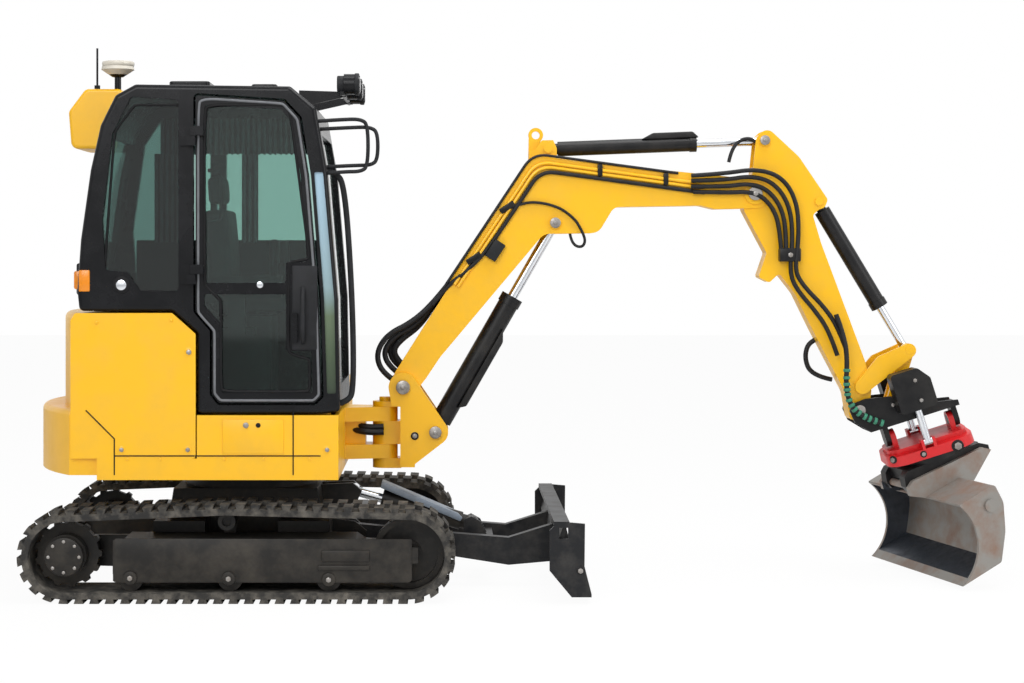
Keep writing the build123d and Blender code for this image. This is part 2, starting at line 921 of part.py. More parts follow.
lamp_u = 512
lamp_z = 2372
with BuildPart() as lamp_bar:
    add(disc(at(470, lamp_z - 40), 12, -520, 130))
    for lamp_y in (-500, -200, 100):
        with BuildSketch(Plane.YZ.offset(slew_x + lamp_u - 35)):
            with Locations((lamp_y, lamp_z)):
                Circle(48)
        extrude(amount=70)
        add(block((458, 490), (lamp_y - 10, lamp_y + 10), (lamp_z - 50, lamp_z)))
    for side in (-420, 0):
        bracket = [(262, 2270), (262, 2350), (455, lamp_z - 28), (482, lamp_z - 28), (482, lamp_z - 52)]
        add(plate(body_points(bracket), side - 8, side + 8))
    add(cab_slab(0, -460, 60), mode=Mode.SUBTRACT)
lamp_bar = lamp_bar.part

# Swing post: three knuckles on the pin, a cross body and two ears for boom and cylinder
knuckle_radius = 60
knuckles = ((540, ear_low[0] - fit), (ear_low[1] + fit, ear_high[0] - fit), (ear_high[1] + fit, 864))
post_front_u = 800
post_rear_u = 730
ear_in = boom_half + fit
ear_out = 104
pin_radius = 25
with BuildPart() as swing_post:
    for side in (-1, 1):
        face = side * (ear_in + ear_out) / 2
        half = (ear_out - ear_in) / 2
        with BuildSketch(Plane.XZ.offset(-face - half)):
            with Locations(at(*boom_foot)):
                Circle(70)
            with Locations(at(*boom_cylinder_base)):
                Circle(62)
            with Locations(at(post_rear_u + 40, 590)):
                Circle(40)
            make_hull()
        extrude(amount=2 * half)
    add(block((560, post_rear_u), (-ear_out, ear_out), (540, ear_high[1] + 5)), mode=Mode.SUBTRACT)
    for knuckle in knuckles:
        add(upright(swing_axis_u, 0, knuckle_radius, knuckle))
        add(block((swing_axis_u, post_rear_u + 4), (-knuckle_radius, knuckle_radius), knuckle))
    add(upright(swing_axis_u, 0, swing_pin_radius, (540, 884)))
    add(block((post_rear_u, post_front_u), (-ear_out, ear_out), (548, 864)))
    for side in (-1, 1):
        inner_face = 40 + fit
        low = inner_face if side > 0 else -ear_in
        high = ear_in if side > 0 else -inner_face
        add(disc(at(*boom_cylinder_base), 44, low, high))
    add(disc(at(*boom_foot), pin_radius, -ear_out - 12, ear_out + 12))
    add(disc(at(*boom_cylinder_base), 23, -ear_out - 12, ear_out + 12))
swing_post = swing_post.part

# Boom: welded box, open between its side plates at the cylinder ears and at the tip
boom_corners = [
    (700, 1000, 50),
    (1385, 2045, 95),
    (2538, 1908, 58),
    (2538, 1776, 58),
    (2274, 1775, 40),
    (2206, 1793, 60),
    (1784, 1793, 50),
    (1706, 1668, 60),
    (1440, 1668, 60),
    (926, 1078, 200),
    (854, 974, 80),
    (796, 902, 30),
    (750, 874, 25),
    (688, 884, 40),
]
knee_opening = [
    (1330, 1480),
    (1316, 1742),
    (1400, 1900),
    (1560, 1900),
    (1800, 1800),
    (1830, 1600),
    (1350, 1400),
]
leg_recess = [(985, 1149), (1060, 1318), (1236, 1552), (1316, 1742), (1420, 1640), (1300, 1380), (1010, 1060)]
recess_floor = [
    (985, 1149),
    (1060, 1318),
    (1236, 1552),
    (1316, 1742),
    (1308, 1750),
    (1228, 1560),
    (1052, 1325),
    (972, 1158),
]
tip_opening = [(2268, 2000), (2268, 1700), (2600, 1700), (2600, 2000)]
boom_inside = boom_half - boom_plate


def rounded_slab(corners, inset, half):
    points = arm_points([corner[:2] for corner in corners])
    with BuildPart() as slab:
        with BuildSketch(Plane.XZ) as face:
            with BuildLine():
                Polyline(*points, close=True)
            make_face()
            for point, corner in zip(points, corners):
                fillet(face.vertices().sort_by_distance(Vector(*point))[0], corner[2])
            if inset:
                offset(amount=-inset, mode=Mode.REPLACE, kind=Kind.INTERSECTION)
        extrude(amount=half, both=True)
    return slab.part


def boom_slab(inset, half):
    return rounded_slab(boom_corners, inset, half)


with BuildPart() as boom:
    add(boom_slab(0, boom_half))
    add(boom_slab(10, boom_inside), mode=Mode.SUBTRACT)
    add(plate(arm_points(knee_opening), -boom_inside, boom_inside), mode=Mode.SUBTRACT)
    add(plate(arm_points(leg_recess), -boom_inside, boom_inside), mode=Mode.SUBTRACT)
    add(plate(arm_points(recess_floor), -boom_inside, boom_inside))
    add(plate(arm_points(tip_opening), -boom_inside, boom_inside), mode=Mode.SUBTRACT)
    add(disc(arm(*boom_foot), 62, -boom_half, boom_half))
    add(disc(arm(*boom_foot), pin_radius + fit, -boom_half, boom_half), mode=Mode.SUBTRACT)
    add(disc(arm(*boom_tip), pin_radius, -boom_half - 14, boom_half + 14))
    for side in (-1, 1):
        face = side * (31 + boom_half) / 2
        half = (boom_half - 31) / 2
        add(disc(arm(*boom_rod_pin), 40, face - half, face + half))
        cap = side * (boom_half + 5)
        add(disc(arm(*boom_rod_pin), 30, cap - 6, cap + 6))
        add(disc(arm(*boom_tip), 52, cap - 6, cap + 6))
boom = boom.part

# Bracket on the knee: ears for the stick cylinder and the lifting eye
ear_foot = [
    (1395, 1990),
    (1405, 2075),
    (1440, 2125),
    (1495, 2125),
    (1512, 2085),
    (1512, 2042),
    (1560, 2020),
    (1560, 1990),
]
ear_tie = [(1374, 1990), (1378, 2075), (1418, 2075), (1418, 1990)]
with BuildPart() as boom_bracket:
    for side in (-1, 1):
        face = side * (30 + fit + 9)
        add(plate(arm_points(ear_foot), face - 9, face + 9))
    add(disc(arm(*stick_cylinder_base), 20, -60, 60))
    add(plate(arm_points(ear_tie), -48, 48))
    lift_plate = [(1372, 1990), (1378, 2150), (1446, 2150), (1420, 2080), (1410, 1990)]
    add(plate(arm_points(lift_plate), -15, 15))
    add(disc(arm(*lift_eye), 36, -15, 15))
    add(disc(arm(*lift_eye), lift_eye_radius, -20, 20), mode=Mode.SUBTRACT)
    add(boom_slab(0, boom_half), mode=Mode.SUBTRACT)
boom_bracket = boom_bracket.part

# Boom cylinder
boom_cylinder = barrel(at(*boom_cylinder_base), arm(*boom_rod_pin), 757, 50, 25, 43, 40, 23)
boom_rod = rod(at(*boom_cylinder_base), arm(*boom_rod_pin), 390, 24.6, 40, 30.6, 24)

# Stick: tapered box with open ears at its head
stick_corners = [
    (2482, 2116, 30),
    (2536, 2170, 40),
    (2690, 2022, 160),
    (2832, 1804, 24),
    (2752, 1738, 20),
    (2790, 1600, 200),
    (2995, 1019, 200),
    (3024, 880, 100),
    (2998, 735, 30),
    (2916, 735, 25),
    (2897, 867, 120),
    (2740, 1180, 200),
    (2658, 1356, 120),
    (2583, 1456, 15),
    (2535, 1412, 12),
    (2482, 1440, 15),
    (2524, 1556, 20),
    (2410, 1780, 60),
    (2462, 1945, 200),
]
stick_inside = stick_half - stick_plate
head_opening = [(2400, 1975), (2400, 2250), (2660, 2250), (2760, 1975)]
ear_opening = [(2690, 1840), (2730, 1930), (2900, 1900), (2900, 1640), (2790, 1640), (2742, 1722)]
link_pin = 20
end_pin = 22


def stick_slab(inset, half):
    return rounded_slab(stick_corners, inset, half)


with BuildPart() as stick:
    add(stick_slab(0, stick_half))
    add(stick_slab(9, stick_inside), mode=Mode.SUBTRACT)
    add(plate(arm_points(head_opening), -stick_inside, stick_inside), mode=Mode.SUBTRACT)
    add(plate(arm_points(ear_opening), -stick_inside, stick_inside), mode=Mode.SUBTRACT)
    add(disc(arm(*boom_tip), 50, -stick_half, stick_half))
    add(disc(arm(*boom_tip), pin_radius + fit, -stick_half, stick_half), mode=Mode.SUBTRACT)
    add(disc(arm(*stick_end), 46, -stick_half, stick_half))
    add(disc(arm(*stick_end), end_pin + fit, -stick_half, stick_half), mode=Mode.SUBTRACT)
    add(disc(arm(*rocker_pivot), 36, -stick_half, stick_half))
    add(disc(arm(*rocker_pivot), link_pin + fit, -stick_half, stick_half), mode=Mode.SUBTRACT)
    for side in (-1, 1):
        face = side * (26 + fit + stick_half) / 2
        half = (stick_half - 26 - fit) / 2
        add(disc(arm(*stick_rod_pin), 36, face - half, face + half))
        add(disc(arm(*bucket_cylinder_base), 38, face - half, face + half))
        cap = side * (stick_half + 5)
        add(disc(arm(*stick_rod_pin), 28, cap - 6, cap + 6))
    add(disc(arm(*bucket_cylinder_base), link_pin, -stick_half - 10, stick_half + 10))
stick = stick.part

stick_cylinder = barrel(arm(*stick_cylinder_base), arm(*stick_rod_pin), 728, 36, 21, 38, 30, 20)
stick_rod = rod(arm(*stick_cylinder_base), arm(*stick_rod_pin), 400, 20.6, 36, 26, 20)
bucket_cylinder = barrel(arm(*bucket_cylinder_base), arm(*rocker_end), 600, 39, 20, 38, 26, link_pin)
bucket_rod = rod(arm(*bucket_cylinder_base), arm(*rocker_end), 215, 19.6, 34, 27, 18)

# Rocker pair joined by its pivot pin
rocker_in = stick_half + fit
rocker_out = rocker_in + 16
with BuildPart() as rocker:
    for side in (-1, 1):
        face = side * (rocker_in + rocker_out) / 2
        with BuildSketch(Plane.XZ.offset(-face - 8)):
            with Locations(arm(*rocker_pivot)):
                Circle(36)
            with Locations(arm(3075, 1012)):
                Circle(36)
            with Locations(arm(*rocker_end)):
                Circle(34)
            make_hull()
        extrude(amount=16)
        middle = side * (46 + fit + rocker_out) / 2
        half = (rocker_out - 46 - fit) / 2
        add(disc(arm(*rocker_end), 32, middle - half, middle + half))
        stub = side * (28 + rocker_out + 1) / 2
        reach = (rocker_out + 1 - 28) / 2
        add(disc(arm(*rocker_end), 18, stub - reach, stub + reach))
    add(disc(arm(*rocker_pivot), link_pin, -rocker_out - 1, rocker_out + 1))
rocker = rocker.part

# Lower link between rocker and tool head
with BuildPart() as lower_link:
    for side in (-1, 1):
        with BuildSketch(Plane.XZ.offset(-side * 37 - 9)):
            with Locations(arm(*rocker_end)):
                Circle(32)
            with Locations(arm(*link_end)):
                Circle(30)
            make_hull()
        extrude(amount=18)
    add(disc(arm(*link_end), 30, -60, 60))
    add(disc(arm(*rocker_end), 18 + fit, -60, 60), mode=Mode.SUBTRACT)
    add(disc(arm(*link_end), 19, -60, 60), mode=Mode.SUBTRACT)
lower_link = lower_link.part

# Tool head frames: x along the head, y across, z up
head_turn = head_lean + boom_rest_raise
head_origin = arm(*stick_end)
head_frame = Plane(
    origin=(head_origin[0], 0, head_origin[1]),
    x_dir=(cos(radians(head_turn)), 0, sin(radians(head_turn))),
    z_dir=(-sin(radians(head_turn)), 0, cos(radians(head_turn))),
)
tilt_place = Location((tilt_origin[0], 0, tilt_origin[1]), (tilt_rest, 0, 0))
tilt_frame = Plane(head_frame.location * tilt_place)
rotor_frame = Plane(tilt_frame.location * Location((0, 0, 0), (0, 0, rotor_rest)))
side_turn = Location((0, 0, 0), (90, 0, 0))


def framed_plate(frame, points, y_low, y_high, rounding=0):
    side = Plane(frame.location * side_turn)
    with BuildPart() as slab:
        with BuildSketch(side.offset(-y_high)) as face:
            with BuildLine():
                Polyline(*points, close=True)
            make_face()
            if rounding:
                fillet(face.vertices(), rounding)
        extrude(amount=y_high - y_low)
    return slab.part


def framed_disc(frame, centre, radius, y_low, y_high):
    side = Plane(frame.location * side_turn)
    with BuildPart() as bar:
        with BuildSketch(side.offset(-y_high)):
            with Locations(centre):
                Circle(radius)
        extrude(amount=y_high - y_low)
    return bar.part


def framed_block(frame, x_range, y_range, z_range):
    with BuildPart() as cuboid:
        with BuildSketch(frame.offset(z_range[0])):
            with Locations((sum(x_range) / 2, sum(y_range) / 2)):
                Rectangle(x_range[1] - x_range[0], y_range[1] - y_range[0])
        extrude(amount=z_range[1] - z_range[0])
    return cuboid.part


def framed_upright(frame, centre, radius, z_range):
    with BuildPart() as post:
        with BuildSketch(frame.offset(z_range[0])):
            with Locations(centre):
                Circle(radius)
        extrude(amount=z_range[1] - z_range[0])
    return post.part


def framed_axle(frame, y, z, radius, x_range):
    turned = Plane(frame.location * Location((x_range[0], y, z), (0, 90, 0)))
    with BuildPart() as bar:
        with BuildSketch(turned):
            Circle(radius)
        extrude(amount=x_range[1] - x_range[0])
    return bar.part


def head_point(point):
    spot = arm(*point)
    local = head_frame.to_local_coords(Vector(spot[0], 0, spot[1]))
    return (local.X, local.Z)


# Tool head: side walls on the stick pin, cross plate, tilt lugs and cylinder covers
wall_in = rocker_out + 2
wall_out = wall_in + 16
link_spot = head_point(link_end)
wall_outline = [
    (-48, 10),
    (-30, 40),
    (40, 46),
    (link_spot[0] + 20, link_spot[1] + 42),
    (link_spot[0] + 60, -40),
    (470, -92),
    (470, -118),
    (20, -118),
    (-40, -50),
]
tilt_z = tilt_origin[1]
lug_gauge = 26
lug_x = (88, 436)
cover_x = (170, 355)
cover_y = (wall_out, wall_out + 95)
cover_z = (-72, 126)
cover_outline = [
    (cover_x[0], cover_z[0]),
    (cover_x[1], cover_z[0]),
    (cover_x[1], cover_z[1] - 62),
    (cover_x[1] - 48, cover_z[1]),
    (cover_x[0], cover_z[1]),
]
cover_rounding = 20
tilt_arm = 134
tilt_eye_z = -40
tilt_eye_radius = 20
tilt_eye_half = 21
ram_radius = 18
ram_x = 262
ram_top = (11, 39)
with BuildPart() as tool_head:
    for side in (-1, 1):
        face = side * (wall_in + wall_out) / 2
        add(framed_plate(head_frame, wall_outline, face - 8, face + 8))
        collar = side * (rocker_in + wall_in) / 2
        reach = (wall_in - rocker_in) / 2
        add(framed_disc(head_frame, (0, 0), 33, collar - reach, collar + reach))
        boss = side * (60 + fit + wall_in) / 2
        reach = (wall_in - 60 - fit) / 2
        add(framed_disc(head_frame, link_spot, 30, boss - reach, boss + reach))
        mid = side * sum(cover_y) / 2
        wide = (cover_y[1] - cover_y[0]) / 2
        add(framed_plate(head_frame, cover_outline, mid - wide, mid + wide, cover_rounding))
    add(framed_block(head_frame, (20, 470), (-wall_out, wall_out), (-118, -100)))
    add(framed_disc(head_frame, (0, 0), end_pin, -wall_out - 10, wall_out + 10))
    for start in lug_x:
        add(framed_block(head_frame, (start, start + lug_gauge), (-40, 40), (tilt_z, -100)))
        add(framed_axle(head_frame, 0, tilt_z, 40, (start, start + lug_gauge)))
    for start, reach in ((lug_x[0], lug_gauge), (lug_x[1] - lug_gauge - fit, lug_gauge)):
        add(framed_axle(head_frame, 0, tilt_z, 24, (start, start + reach + lug_gauge + fit)))
    for side in (-1, 1):
        bore_z = (cover_z[0] - 10, cover_z[1] - 4)
        bore = framed_upright(head_frame, (ram_x, side * tilt_arm), ram_radius + fit, bore_z)
        add(bore, mode=Mode.SUBTRACT)
tool_head = tool_head.part


def tilt_rod(side, top):
    end = tilt_frame.location * Location((ram_x - tilt_origin[0], side * tilt_arm, tilt_eye_z))
    spot = head_frame.to_local_coords(Vector(end.position))
    with BuildPart() as bar:
        add(framed_upright(head_frame, (ram_x, side * tilt_arm), ram_radius, (spot.Z, top)))
        eye_x = (ram_x - tilt_eye_half, ram_x + tilt_eye_half)
        add(framed_axle(head_frame, spot.Y, spot.Z, tilt_eye_radius, eye_x))
    return bar.part


tilt_rod_near = tilt_rod(-1, ram_top[0])
tilt_rod_far = tilt_rod(1, ram_top[1])

# Rotor housing that hangs on the tilt pins
housing_low = -118
housing_shoulder = -70
housing_top = -46
with BuildPart() as rotor_housing:
    with BuildSketch(tilt_frame.offset(housing_low)):
        RectangleRounded(440, 296, 90)
    extrude(amount=housing_shoulder - housing_low, taper=4)
    with BuildSketch(tilt_frame.offset(housing_shoulder)):
        RectangleRounded(400, 204, 60)
    extrude(amount=housing_top - housing_shoulder)
    ears_x = (lug_x[0] + lug_gauge + fit - tilt_origin[0], lug_x[1] - lug_gauge - fit - tilt_origin[0])
    for start in ears_x:
        stop = start + lug_gauge
        add(framed_block(tilt_frame, (start, stop), (-40, 40), (housing_top - 10, 0)))
        add(framed_axle(tilt_frame, 0, 0, 40, (start, stop)))
        add(framed_axle(tilt_frame, 0, 0, 24 + fit, (start - 5, stop + 5)), mode=Mode.SUBTRACT)
    for side in (-1, 1):
        for start in (ram_x - tilt_eye_half - fit - 14, ram_x + tilt_eye_half + fit):
            low = start - tilt_origin[0]
            middle = side * tilt_arm
            cheek_z = (housing_shoulder - 5, -22)
            add(framed_block(tilt_frame, (low, low + 14), (middle - 20, middle + 20), cheek_z))
rotor_housing = rotor_housing.part

# Quick hitch under the rotor
hitch_pins = ((-190, -222), (222, -194))
with BuildPart() as quick_hitch:
    add(framed_upright(rotor_frame, (0, 0), 150, (housing_low - 28, housing_low - fit)))
    hitch_outline = [
        (-215, -166),
        (-190, -144),
        (215, -144),
        (262, -170),
        (262, -205),
        (230, -222),
        (150, -222),
        (130, -200),
        (-150, -200),
        (-165, -240),
        (-205, -250),
        (-222, -215),
    ]
    for side in (-1, 1):
        add(framed_plate(rotor_frame, hitch_outline, side * 95 - 25, side * 95 + 25))
    add(framed_block(rotor_frame, (-190, 225), (-95, 95), (-196, -144)))
    for spot in hitch_pins:
        add(framed_disc(rotor_frame, spot, 18 + fit, -130, 130), mode=Mode.SUBTRACT)
quick_hitch = quick_hitch.part

# Grading bucket: curved shell, end plates and pin ears
heel = (-16, -622)
shell_corners = [
    (edge_front, edge_low, 0),
    (*roof_front, 0),
    (*roof_rear, 20),
    (*bucket_back, 80),
    (48, -490, 160),
    (*heel, 20),
]


def bucket_face(inset, y_low, y_high):
    side = Plane(rotor_frame.location * side_turn)
    with BuildPart() as slab:
        with BuildSketch(side.offset(-y_high)) as face:
            with BuildLine():
                Polyline(*[corner[:2] for corner in shell_corners], close=True)
            make_face()
            for corner in shell_corners:
                if corner[2]:
                    fillet(face.vertices().sort_by_distance(Vector(*corner[:2]))[0], corner[2])
            if inset:
                offset(amount=-inset, mode=Mode.REPLACE, kind=Kind.INTERSECTION)
        extrude(amount=y_high - y_low)
    return slab.part


mouth = [
    (edge_front - 200, edge_low + 18),
    (edge_front - 200, roof_front[1] - 19),
    (roof_front[0] - 20, roof_front[1] - 19),
    (-100, roof_front[1] - 11),
    (-150, edge_low + 44),
    (edge_front + 4, edge_low + 18),
]
ear_points = [(-225, -256), (-225, -216), (-190, -192), (215, -164), (256, -190), (76, -340), (-132, -300)]
with BuildPart() as bucket:
    inside = bucket_half - bucket_gauge
    add(bucket_face(0, -bucket_half, bucket_half))
    add(bucket_face(bucket_gauge, -inside, inside), mode=Mode.SUBTRACT)
    add(framed_plate(rotor_frame, mouth, -inside, inside), mode=Mode.SUBTRACT)
    add(framed_disc(rotor_frame, (-337, -437), 241, -bucket_half - 5, bucket_half + 5), mode=Mode.SUBTRACT)
    for side in (-1, 1):
        face = side * (bucket_half + 4)
        add(framed_disc(rotor_frame, (8, -345), 30, face - 6, face + 6))
    for side in (-1, 1):
        start = side * 134
        add(framed_plate(rotor_frame, ear_points, start - 12, start + 12))
    for spot in hitch_pins:
        add(framed_disc(rotor_frame, spot, 18, -146, 146))
bucket = bucket.part

pieces = {
    "track_near": track_near,
    "track_far": track_far,
    "track_frame_near": track_frame_near,
    "track_frame_far": track_frame_far,
    "sprocket_near": sprocket_near,
    "sprocket_far": sprocket_far,
    "idler_near": idler_near,
    "idler_far": idler_far,
    "rollers_near": rollers_near,
    "rollers_far": rollers_far,
    "carbody": carbody,
    "slew_ring": slew_ring,
    "blade": blade,
    "blade_cylinder": blade_cylinder,
    "blade_rod": blade_rod,
    "deck": deck,
    "counterweight": counterweight,
    "rear_hood": rear_hood,
    "engine_block": engine_block,
    "access_panel": access_panel,
    "sill_panel": sill_panel,
    "far_body": far_body,
    "cab_roof": cab_roof,
    "cab_front": cab_front,
    "cab_rear": cab_rear,
    "cab_floor": cab_floor,
    "windscreen": windscreen,
    "rear_glass": rear_glass,
    "cab_near_wall": cab_near_wall,
    "quarter_glass": quarter_glass,
    "strip_glass": strip_glass,
    "cab_far_wall": cab_far_wall,
    "far_glass": far_glass,
    "door": door,
    "door_glass": door_glass,
    "seat": seat,
    "seat_box": seat_box,
    "rear_cap": rear_cap,
    "roof_gear": roof_gear,
    "antennas": antennas,
    "lamp_bar": lamp_bar,
    "swing_post": swing_post,
    "boom": boom,
    "boom_bracket": boom_bracket,
    "boom_cylinder": boom_cylinder,
    "boom_rod": boom_rod,
    "stick": stick,
    "stick_cylinder": stick_cylinder,
    "stick_rod": stick_rod,
    "bucket_cylinder": bucket_cylinder,
    "bucket_rod": bucket_rod,
    "rocker": rocker,
    "lower_link": lower_link,
    "tool_head": tool_head,
    "tilt_rod_near": tilt_rod_near,
    "tilt_rod_far": tilt_rod_far,
    "rotor_housing": rotor_housing,
    "quick_hitch": quick_hitch,
    "bucket": bucket,
}
for name, piece in pieces.items():
    piece.label = name
    export_step(piece, f"parts/{name}.step")
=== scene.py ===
# %% [markdown]
# # A mini excavator in its paint
# The solids of the machine come in as one frame: each node already has its real place and size, in
# metres, with the front of the machine towards +X and the ground at Z = 0. This lesson keeps those
# solids, gives each one a finish, and then adds the pieces that are too fine for the solids: hoses,
# pipes, seals, bolts, handles and the padded seat. Nothing in the frame is moved.

import math

import bpy
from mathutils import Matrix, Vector
from mathutils.bvhtree import BVHTree


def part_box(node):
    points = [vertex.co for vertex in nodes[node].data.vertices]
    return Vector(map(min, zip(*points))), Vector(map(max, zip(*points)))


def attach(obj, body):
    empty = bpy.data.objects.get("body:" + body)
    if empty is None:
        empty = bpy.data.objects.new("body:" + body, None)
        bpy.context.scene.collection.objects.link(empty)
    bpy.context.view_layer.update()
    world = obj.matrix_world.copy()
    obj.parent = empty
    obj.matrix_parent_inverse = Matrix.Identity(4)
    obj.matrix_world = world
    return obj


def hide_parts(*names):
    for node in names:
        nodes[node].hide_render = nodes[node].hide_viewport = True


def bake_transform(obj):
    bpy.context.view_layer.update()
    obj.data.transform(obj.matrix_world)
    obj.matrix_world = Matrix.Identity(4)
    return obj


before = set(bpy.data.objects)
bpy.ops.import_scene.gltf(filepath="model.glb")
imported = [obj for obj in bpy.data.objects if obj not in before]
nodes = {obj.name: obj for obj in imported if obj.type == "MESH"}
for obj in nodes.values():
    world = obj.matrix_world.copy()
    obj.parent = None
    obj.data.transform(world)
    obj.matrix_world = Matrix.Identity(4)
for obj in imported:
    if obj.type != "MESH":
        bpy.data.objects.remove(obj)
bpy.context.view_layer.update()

# %% [markdown]
# ## Where things are
# Sizes on the machine are easiest to read from the slew axis, the upright line that the house turns
# about. The slew ring tells where that axis is, so one function turns a distance in front of the axis
# and a height, both in millimetres, into a point of the frame.

# %% Machine coordinates
MM = 0.001
slew_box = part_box("slew_ring")
SLEW_X = (slew_box[0][0] + slew_box[1][0]) / 2


def spot(ahead, across, height):
    return Vector((SLEW_X + ahead * MM, across * MM, height * MM))


print("slew axis at x", round(SLEW_X, 4))

# %% [markdown]
# ## Colours and nodes
# Colours are written as the hex values that a paint chart gives. Blender mixes light in linear values,
# so one function takes the curve off. A second function adds a shader node, sets its values and links
# its inputs, which keeps each recipe below to a few lines.

# %% Colour and node helpers


def linear(code):
    shade = []
    for start in (0, 2, 4):
        value = int(code[start : start + 2], 16) / 255
        shade.append(value / 12.92 if value <= 0.04045 else ((value + 0.055) / 1.055) ** 2.4)
    return (*shade, 1.0)


def add_node(tree, kind, values=None, links=None, **settings):
    made = tree.nodes.new(kind)
    for key, value in settings.items():
        setattr(made, key, value)
    for key, value in (values or {}).items():
        made.inputs[key].default_value = value
    for key, source in (links or {}).items():
        tree.links.new(source, made.inputs[key])
    return made


def pattern_scale(size_mm):
    return 1000.0 / size_mm


# %% [markdown]
# ## Painted steel
# The house, boom and stick are sheet steel with a baked coat of yellow. Such a coat is smooth and a
# little glossy, with a faint orange peel about 2 mm across that is drawn here at 6 mm so that it shows.
# Dust lies on it in soft patches the size of a hand, which take the gloss down and grey the colour. The
# same recipe with other colours gives the black frame paint, the dark cab paint and the red housing.

# %% Painted steel recipe


def coat(
    name, colour, dust_colour, dust, roughness, patch_mm=150.0, peel_mm=6.0, ground_dust=0.0, shine=0.5
):
    made = bpy.data.materials.new(name)
    made.use_nodes = True
    tree = made.node_tree
    skin = tree.nodes["Principled BSDF"]
    skin.inputs["Specular IOR Level"].default_value = shine
    place = add_node(tree, "ShaderNodeTexCoord").outputs["Object"]
    patches = add_node(
        tree,
        "ShaderNodeTexNoise",
        {"Scale": pattern_scale(patch_mm), "Detail": 6.0, "Roughness": 0.62},
        {"Vector": place},
    )
    amount = add_node(
        tree,
        "ShaderNodeMapRange",
        {"From Min": 0.42, "From Max": 0.72, "To Min": 0.0, "To Max": dust},
        {"Value": patches.outputs["Fac"]},
    ).outputs["Result"]
    if ground_dust:
        height = add_node(tree, "ShaderNodeSeparateXYZ", links={"Vector": place}).outputs["Z"]
        low = add_node(
            tree,
            "ShaderNodeMapRange",
            {"From Min": 0.62, "From Max": 0.0, "To Min": 0.0, "To Max": ground_dust},
            {"Value": height},
        ).outputs["Result"]
        uneven = add_node(
            tree, "ShaderNodeMath", links={0: low, 1: patches.outputs["Fac"]}, operation="MULTIPLY"
        ).outputs["Value"]
        amount = add_node(
            tree, "ShaderNodeMath", links={0: amount, 1: uneven}, operation="ADD", use_clamp=True
        ).outputs["Value"]
    colours = {6: linear(colour), 7: linear(dust_colour)}
    shade = add_node(tree, "ShaderNodeMix", colours, {"Factor": amount}, data_type="RGBA")
    tree.links.new(shade.outputs[2], skin.inputs["Base Color"])
    gloss = add_node(
        tree,
        "ShaderNodeMapRange",
        {"To Min": roughness, "To Max": min(1.0, roughness + 0.35)},
        {"Value": amount},
    )
    tree.links.new(gloss.outputs["Result"], skin.inputs["Roughness"])
    peel = add_node(
        tree, "ShaderNodeTexNoise", {"Scale": pattern_scale(peel_mm), "Detail": 2.0}, {"Vector": place}
    )
    relief = add_node(
        tree, "ShaderNodeBump", {"Strength": 0.05, "Distance": 0.001}, {"Height": peel.outputs["Fac"]}
    )
    tree.links.new(relief.outputs["Normal"], skin.inputs["Normal"])
    return made


# Baked powder coat on sheet steel: an even yellow with a soft gloss.
yellow_coat = coat("powder_coat_yellow", "F4B90A", "D9A93A", 0.35, 0.30)
# Chassis paint: near black, and dull where soil dries on it close to the ground.
black_coat = coat("frame_coat_black", "0F1012", "6B645A", 0.18, 0.36, ground_dust=0.3, shine=0.2)
# Cab paint: a smoother black that keeps more gloss than the chassis.
cab_coat = coat("cab_coat_black", "0B0C0F", "2A2B2E", 0.2, 0.24, shine=0.2)
# Baked red enamel of the turning housing, darker where oil has run.
red_coat = coat("powder_coat_red", "D3141C", "8C2A26", 0.4, 0.33)
# Black enamel of cylinders and tool head, under a thin film of dust.
tool_coat = coat("tool_coat_black", "0F0F11", "3A3835", 0.4, 0.34, shine=0.25)
# Blade paint, rubbed to grey where soil slides over it.
blade_coat = coat("blade_coat_dark", "16171A", "55524E", 0.35, 0.40, patch_mm=90.0, shine=0.25)
# Worn blue-grey paint of the bent guard plate: the steel begins to show.
guard_coat = coat("guard_coat_blue_grey", "7C8794", "5E646B", 0.5, 0.42, patch_mm=80.0)
print("coats made")

# %% [markdown]
# ## Moulded parts, rubber and hose
# Rubber tracks pick up pale dirt in every hollow, so their dust is strong. Moulded plastic covers keep
# a fine even grain. Hoses are black rubber with a soft sheen.

# %% Rubber and plastics
# Vulcanised rubber with pale soil in its hollows: almost no gloss.
track_rubber = coat(
    "track_rubber", "2C2C2C", "77726A", 0.7, 0.74, patch_mm=60.0, peel_mm=9.0, ground_dust=0.25, shine=0.15
)
# Oil hose of black synthetic rubber: a soft sheen.
hose_rubber = coat("hose_rubber", "151517", "2E2E30", 0.5, 0.45, patch_mm=60.0, shine=0.25)
# Moulded ABS with an even grain that breaks up the shine.
grained_plastic = coat(
    "grained_plastic_black", "1C1D1F", "35363A", 0.4, 0.5, patch_mm=80.0, peel_mm=4.0, shine=0.2
)
# Extruded door seal: matte black rubber.
seal_rubber = coat("seal_rubber", "0E0E10", "1C1C1E", 0.3, 0.55, patch_mm=60.0, shine=0.2)
# Wound polyethylene guard of the tool hose: a dull green.
green_wrap = coat("hose_wrap_green", "2F7F63", "2A5546", 0.5, 0.5, patch_mm=30.0)
# Acrylic lens dyed amber: smooth and bright.
amber_lens = coat("amber_lens", "E8890C", "C46F08", 0.3, 0.18, patch_mm=20.0)
# Vinyl of the seat: dark, with a fine pressed grain.
seat_cloth = coat("seat_vinyl_black", "202124", "34353A", 0.5, 0.62, patch_mm=40.0, peel_mm=3.0)
# Slats of the blinds: grey plastic with no gloss, made lighter as a painted highlight so that the ribs show
# in the dim cab.
slat_grey_and_highlight = coat("blind_slat_grey_painted_highlight", "7C8286", "5A5F63", 0.5, 0.6, patch_mm=50.0)
# Mid-grey rim round the door: a painted highlight that stands for light on the door's edge.
rim_highlight_finish = coat("door_edge_painted_highlight", "6A6C70", "4A4C50", 0.5, 0.5, patch_mm=60.0)
# Weathered cream plastic of the dish cover.
cream_plastic = coat("aerial_cover_cream", "D9D3C6", "B8B0A0", 0.4, 0.35, patch_mm=60.0)
print("rubber and plastics made")

